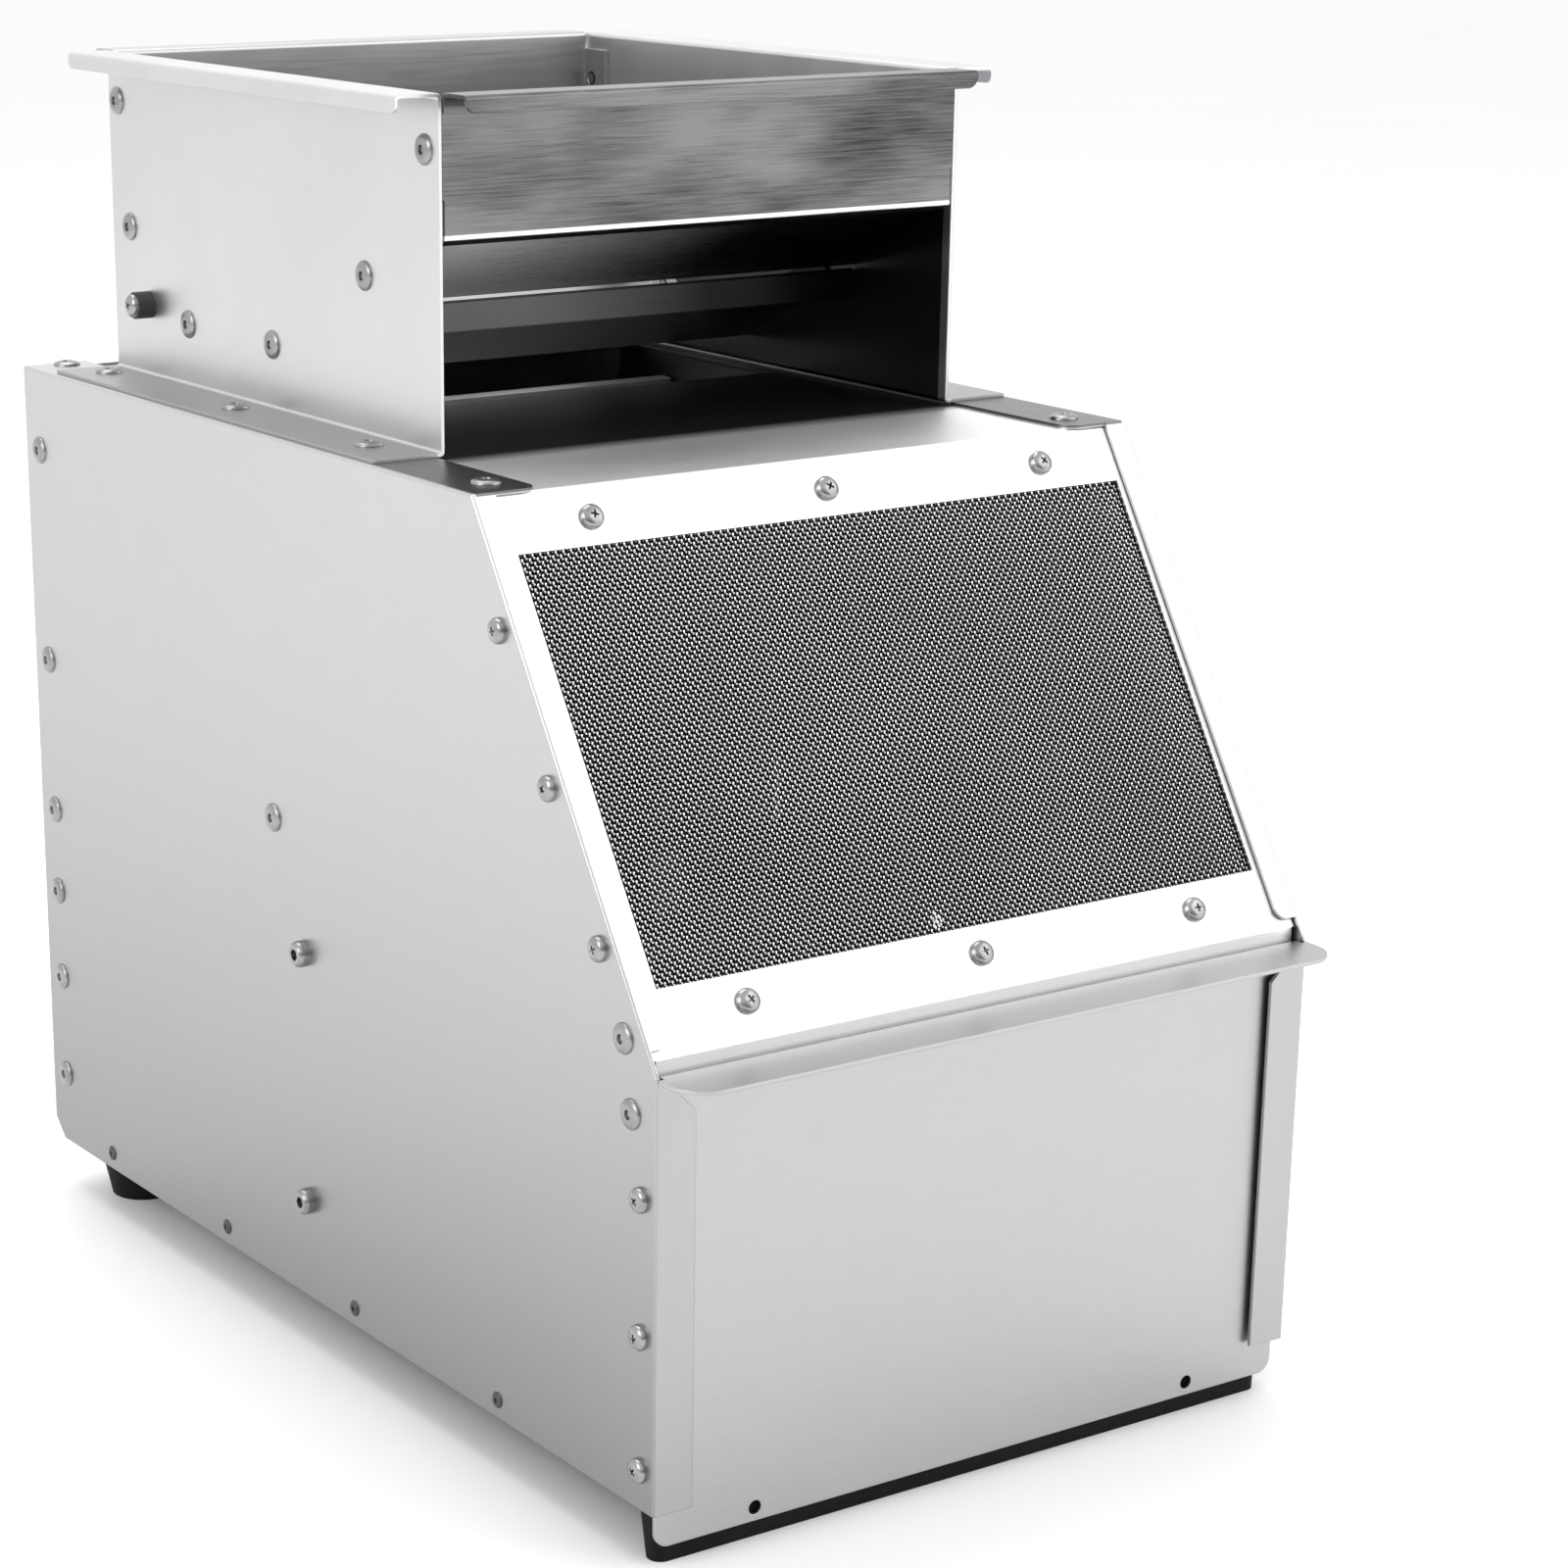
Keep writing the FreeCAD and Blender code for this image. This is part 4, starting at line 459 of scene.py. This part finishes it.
def cross_cutter(reach, half, depth, top):
    """Two crossed tapered bars that cut the driver recess."""
    cutter = bmesh.new()
    for turn in (0, math.pi / 2):
        bar = bmesh.ops.create_cube(cutter, size=1)["verts"]
        bmesh.ops.scale(cutter, verts=bar, vec=(2 * reach, 2 * half, 2 * depth))
        for corner in bar:
            if corner.co.z < 0:
                corner.co.x *= 0.35
                corner.co.y *= 0.7
        bmesh.ops.translate(cutter, verts=bar, vec=(0, 0, top))
        bmesh.ops.rotate(cutter, verts=bar, cent=(0, 0, 0), matrix=Matrix.Rotation(turn, 3, "Z"))
    return cutter


def cut_out(shape, cutters):
    """The mesh left when every cutter is taken out of the shape."""
    mesh = bpy.data.meshes.new("cut")
    shape.to_mesh(mesh)
    shape.free()
    body = bpy.data.objects.new("cut", mesh)
    bpy.context.scene.collection.objects.link(body)
    tools = []
    for cutter in cutters:
        tool_mesh = bpy.data.meshes.new("tool")
        cutter.to_mesh(tool_mesh)
        cutter.free()
        tool = bpy.data.objects.new("tool", tool_mesh)
        bpy.context.scene.collection.objects.link(tool)
        tools.append(tool)
        modifier = body.modifiers.new("cut", "BOOLEAN")
        modifier.object = tool
        modifier.solver = "EXACT"
        modifier.use_self = True
    cut = bpy.data.meshes.new_from_object(body.evaluated_get(bpy.context.evaluated_depsgraph_get()))
    for made in (body, *tools):
        bpy.data.objects.remove(made)
    return cut


dome = [(head_radius, 0.0), (head_radius, 0.0007), (0.96 * head_radius, 0.0013), (0.84 * head_radius, 0.0019),
        (0.62 * head_radius, 0.0023), (0.35 * head_radius, 0.0025), (0.0, head_rise)]
pan_head = turned_head(dome)
washer_face = [edge for edge in pan_head.edges if edge.is_boundary]
bmesh.ops.holes_fill(pan_head, edges=washer_face)
bmesh.ops.recalc_face_normals(pan_head, faces=pan_head.faces)
pan_head = cut_out(pan_head, [cross_cutter(0.0021, 0.00042, 0.0014, head_rise)])


def solid_points(node):
    """The points of each separate solid of a CAD piece."""
    shape = bmesh.new()
    shape.from_mesh(nodes[node].data)
    bmesh.ops.remove_doubles(shape, verts=shape.verts, dist=1e-6)
    groups = []
    seen = set()
    for first in shape.verts:
        if first in seen:
            continue
        heap, group = [first], []
        seen.add(first)
        while heap:
            point = heap.pop()
            group.append(point.co.copy())
            for edge in point.link_edges:
                other = edge.other_vert(point)
                if other not in seen:
                    seen.add(other)
                    heap.append(other)
        groups.append(group)
    shape.free()
    return groups


def heads(name, node, head, radius, rise, ways, finish, turn=0.9):
    """Sets one head and its shank on every fastener of a CAD piece. `ways` gives where each one looks."""
    shank_radius, first_turn = 0.0019, 0.5
    whole = bmesh.new()
    for count, points in enumerate(solid_points(node)):
        way = ways(sum(points, Vector()) / len(points))
        far = max(point.dot(way) for point in points)
        outer = [point for point in points if point.dot(way) > far - 1e-5]
        top = sum(outer, Vector()) / len(outer)
        width = max((point - top - way * (point - top).dot(way)).length for point in points)
        seat = top - way * rise * width / radius
        place = Matrix.Translation(seat) @ way.to_track_quat("Z", "Y").to_matrix().to_4x4()
        shank_length = max((seat - point).dot(way) for point in points)
        shank = bmesh.new()
        bmesh.ops.create_cone(shank, cap_ends=True, segments=14, radius1=shank_radius, radius2=shank_radius,
                              depth=shank_length)
        bmesh.ops.translate(shank, verts=shank.verts, vec=(0, 0, -shank_length / 2))
        shank_mesh = bpy.data.meshes.new("shank")
        shank.to_mesh(shank_mesh)
        shank.free()
        turned = Matrix.Rotation(first_turn + count * turn, 4, "Z") @ Matrix.Scale(width / radius, 4)
        for mesh, own in ((head.copy(), turned), (shank_mesh, Matrix())):
            mesh.transform(place @ own)
            whole.from_mesh(mesh)
            bpy.data.meshes.remove(mesh)
    made = new_piece(name, whole, finish, "casing", node, slot="fastener_steel")
    made.data.set_sharp_from_angle(angle=math.radians(35))


def out_to_side(point):
    return Vector((1 if point.x > 0 else -1, 0, 0))


def up_slope_face(point):
    return slant_way


def upwards(point):
    return Vector((0, 0, 1))


def to_the_left(point):
    return Vector((-1, 0, 0))


heads("panel_cross_screws", "panel_screws", pan_head, head_radius, head_rise, up_slope_face, screw_steel, 1.3)
heads("casing_cross_screws", "casing_screws", pan_head, head_radius, head_rise, out_to_side, screw_steel, 0.7)

# Stop screws on the hopper sides, each on a black nylon spacer.
heads("stop_cross_screws", "hopper_stop_screws", pan_head, head_radius, head_rise, out_to_side, screw_steel)

# Foot and motor screws, the same pan heads, inside the casing.
heads("foot_cross_screws", "foot_screws", pan_head, head_radius, head_rise, upwards, screw_steel)
heads("motor_cross_screws", "motor_screws", pan_head, head_radius, head_rise, to_the_left, screw_steel)

# Blind rivets: domed stainless heads with the snapped mandrel sunk in the middle.
rivet_radius, rivet_rise = 0.00475, 0.0015
rivet_profile = [(rivet_radius, 0.0), (rivet_radius, 0.0003), (0.93 * rivet_radius, 0.0008),
                 (0.72 * rivet_radius, 0.00125), (0.45 * rivet_radius, rivet_rise),
                 (0.32 * rivet_radius, rivet_rise - 0.0001), (0.27 * rivet_radius, 0.0004),
                 (0.2 * rivet_radius, 0.0003), (0.14 * rivet_radius, 0.0008), (0.0, 0.0009)]
rivet_shape = turned_head(rivet_profile, 26)
rivet_head = bpy.data.meshes.new("rivet_head")
rivet_shape.to_mesh(rivet_head)
rivet_shape.free()
rivet_coat = Coat("rivet_steel", metallic=1.0)
rivet_marks = rivet_coat.noise(rivet_coat.place, 500.0, 3.0)
rivet_cloud = rivet_coat.noise(rivet_coat.place, 160.0, 2.0)
rivet_steel = rivet_coat.finish(rivet_coat.blend(rivet_cloud, (0.20, 0.20, 0.205), (0.42, 0.42, 0.43)),
                                0.24 + rivet_marks * 0.14, rivet_marks, 0.15, 0.0001)
heads("casing_blind_rivets", "casing_rivets", rivet_head, rivet_radius, rivet_rise, out_to_side, rivet_steel)
# The rivets low on the sides get a darker copy of the rivet steel, as painted shade.
dark_coat = Coat("rivet_steel_painted_shade", metallic=1.0)
dark_marks = dark_coat.noise(dark_coat.place, 500.0, 3.0)
shaded_rivet_steel = dark_coat.finish(dark_coat.blend(dark_marks, (0.05, 0.05, 0.05), (0.14, 0.14, 0.14)),
                              0.35 + dark_marks * 0.2, dark_marks, 0.2, 0.0001)
heads("pan_blind_rivets", "pan_rivets", rivet_head, rivet_radius, rivet_rise, out_to_side, shaded_rivet_steel)
heads("hopper_blind_rivets", "hopper_rivets", rivet_head, rivet_radius, rivet_rise, out_to_side, rivet_steel)
heads("flange_blind_rivets", "flange_rivets", rivet_head, rivet_radius, rivet_rise, upwards, rivet_steel)

# Bearing bolts: tall round heads with a hexagon socket.
bolt_radius, bolt_rise = 0.0044, 0.0038
bolt_profile = [(bolt_radius, 0.0), (bolt_radius, 0.0022), (0.94 * bolt_radius, 0.0030),
                (0.76 * bolt_radius, bolt_rise), (0.0, bolt_rise)]
bolt_shape = turned_head(bolt_profile, 30)
bmesh.ops.holes_fill(bolt_shape, edges=[edge for edge in bolt_shape.edges if edge.is_boundary])
bmesh.ops.recalc_face_normals(bolt_shape, faces=bolt_shape.faces)
socket = bmesh.new()
bmesh.ops.create_cone(socket, cap_ends=True, segments=6, radius1=0.0019, radius2=0.0023, depth=0.005)
bmesh.ops.translate(socket, verts=socket.verts, vec=(0, 0, bolt_rise))
bolt_head = cut_out(bolt_shape, [socket])
heads("bearing_socket_bolts", "bearing_bolts", bolt_head, bolt_radius, bolt_rise, out_to_side, rivet_steel)

# Spacers, cable gland and switch housing: moulded black nylon.
nylon = Coat("black_nylon")
nylon_grain = nylon.noise(nylon.place, 400.0, 3.0)
painted(nylon.finish(nylon.blend(nylon_grain, (0.012, 0.012, 0.012), (0.03, 0.03, 0.03)),
                     0.4 + nylon_grain * 0.2, nylon_grain, 0.2, 0.0001),
        "hopper_stop_spacers", "cable_gland", "switch_housing")

# Feet: moulded black rubber, faintly dusty.
rubber = Coat("black_rubber", specular_ior_level=0.15)
rubber_grain = rubber.noise(rubber.place, 350.0, 4.0)
rubber_dust = rubber.noise(rubber.place, 40.0, 3.0)
rubber_finish = rubber.finish(rubber.blend(rubber_dust, (0.002, 0.002, 0.002), (0.008, 0.008, 0.008)),
                              0.5 + rubber_grain * 0.25, rubber_grain, 0.35, 0.0002)
painted(rubber_finish, "front_foot_bar", "rear_feet")

# Stem outlet curtains: two slit rubber flaps outside the right panel, one each side of the bearing. Each
# hangs from a folded steel clip, and the stems push its strips aside.
flap_steel = stainless("flap_clip_sheet", "Y", (0.5, 0.505, 0.51), 0.35, 0.3, 0.3)
strips, strip_gap, flap_width, flap_low, flap_top = 6, 0.0003, 0.027, 0.0625, 0.1335
flap_thickness, flap_out, clip_thickness, clip_out, clip_height = 0.0012, 0.1258, 0.0011, 0.12695, 0.006
strip_width = flap_width / strips
for place_name, middle in (("front", -0.0245), ("rear", 0.0425)):
    curtain = bmesh.new()
    for count in range(strips):
        strip = bmesh.ops.create_cube(curtain, size=1)["verts"]
        bmesh.ops.scale(curtain, verts=strip,
                        vec=(flap_thickness, strip_width - strip_gap, flap_top - flap_low))
        along = middle - flap_width / 2 + (count + 0.5) * strip_width
        bmesh.ops.translate(curtain, verts=strip, vec=(flap_out, along, (flap_top + flap_low) / 2))
        for corner in strip:
            if corner.co.z < 0.1:
                corner.co.x += 0.0004 * (count % 2)
    new_piece(f"{place_name}_stem_curtain", curtain, rubber_finish, "casing", slot="black_rubber",
              smooth=False)
    clip = bmesh.new()
    bar = bmesh.ops.create_cube(clip, size=1)["verts"]
    bmesh.ops.scale(clip, verts=bar, vec=(clip_thickness, flap_width + clip_height / 2, clip_height))
    bmesh.ops.translate(clip, verts=bar, vec=(clip_out, middle, flap_top - clip_height / 2))
    bmesh.ops.bevel(clip, geom=clip.edges[:], offset=0.0003, segments=2, affect="EDGES", profile=0.5,
                    material=-1)
    new_piece(f"{place_name}_curtain_clip", clip, flap_steel, "casing", slot="stainless")

# Crusher rollers, gears and pulleys: cast and turned aluminium.
cast = Coat("cast_aluminium", metallic=1.0)
cast_grain = cast.noise(cast.place, 260.0, 4.0)
cast_cloud = cast.noise(cast.place, 30.0, 3.0)
painted(cast.finish(cast.blend(cast_cloud, (0.24, 0.245, 0.25), (0.42, 0.425, 0.43)), 0.38 + cast_grain * 0.2,
                    cast_grain, 0.25, 0.0002),
        "front_roller", "rear_roller", "front_roller_gear", "rear_roller_gear", "motor_pulley",
        "beater_pulley", "beater_small_pulley", "roller_pulley")

# Shafts, standoffs and beater: ground and turned steel.
ground = Coat("ground_steel", metallic=1.0)
ground_rings = ground.noise(ground.stretched(700, 20, 20), 1.0, 3.0)
painted(ground.finish(ground.blend(ground_rings, (0.18, 0.18, 0.185), (0.34, 0.34, 0.35)),
                      0.22 + ground_rings * 0.16, ground_rings, 0.15, 0.0001),
        "beater_shaft", "front_roller_shaft", "rear_roller_shaft", "motor_shaft", "cage_standoffs", "beater")

# Roller bushes: sintered bronze.
bronze = Coat("sintered_bronze", metallic=1.0)
bronze_grain = bronze.noise(bronze.place, 900.0, 3.0)
painted(bronze.finish(bronze.blend(bronze_grain, (0.30, 0.20, 0.10), (0.55, 0.40, 0.22)),
                      0.4 + bronze_grain * 0.2, bronze_grain, 0.2, 0.0001), "roller_bushes")

# Flange bearings: cast iron with a rough skin.
iron = Coat("cast_iron", metallic=0.8)
iron_grain = iron.noise(iron.place, 300.0, 5.0)
painted(iron.finish(iron.blend(iron_grain, (0.05, 0.05, 0.055), (0.14, 0.14, 0.15)), 0.5 + iron_grain * 0.25,
                    iron_grain, 0.5, 0.0004), "left_beater_bearing", "right_beater_bearing")

# Motor: enamelled drum and cover.
enamel = Coat("motor_enamel", coat_weight=0.3)
enamel_orange = enamel.noise(enamel.place, 240.0, 2.0)
enamel_cloud = enamel.noise(enamel.place, 20.0)
painted(enamel.finish(enamel.blend(enamel_cloud, (0.02, 0.024, 0.03), (0.035, 0.04, 0.05)),
                      0.3 + enamel_orange * 0.15, enamel_orange, 0.15, 0.0003),
        "motor_housing", "motor_end_cover")

# Belts: black rubber with a woven back.
belt_rubber = Coat("belt_rubber")
belt_weave = belt_rubber.noise(belt_rubber.stretched(1500, 500, 500), 1.0, 2.0)
painted(belt_rubber.finish(belt_rubber.blend(belt_weave, (0.012, 0.012, 0.012), (0.04, 0.04, 0.04)),
                           0.6 + belt_weave * 0.2, belt_weave, 0.3, 0.0002), "motor_belt", "roller_belt")

# Switch rocker: glossy moulded plastic.
rocker = Coat("rocker_plastic", coat_weight=0.4)
rocker_grain = rocker.noise(rocker.place, 200.0, 2.0)
painted(rocker.finish(rocker.blend(rocker_grain, (0.40, 0.012, 0.012), (0.52, 0.02, 0.02)),
                      0.2 + rocker_grain * 0.12, rocker_grain, 0.1, 0.0001), "switch_rocker")
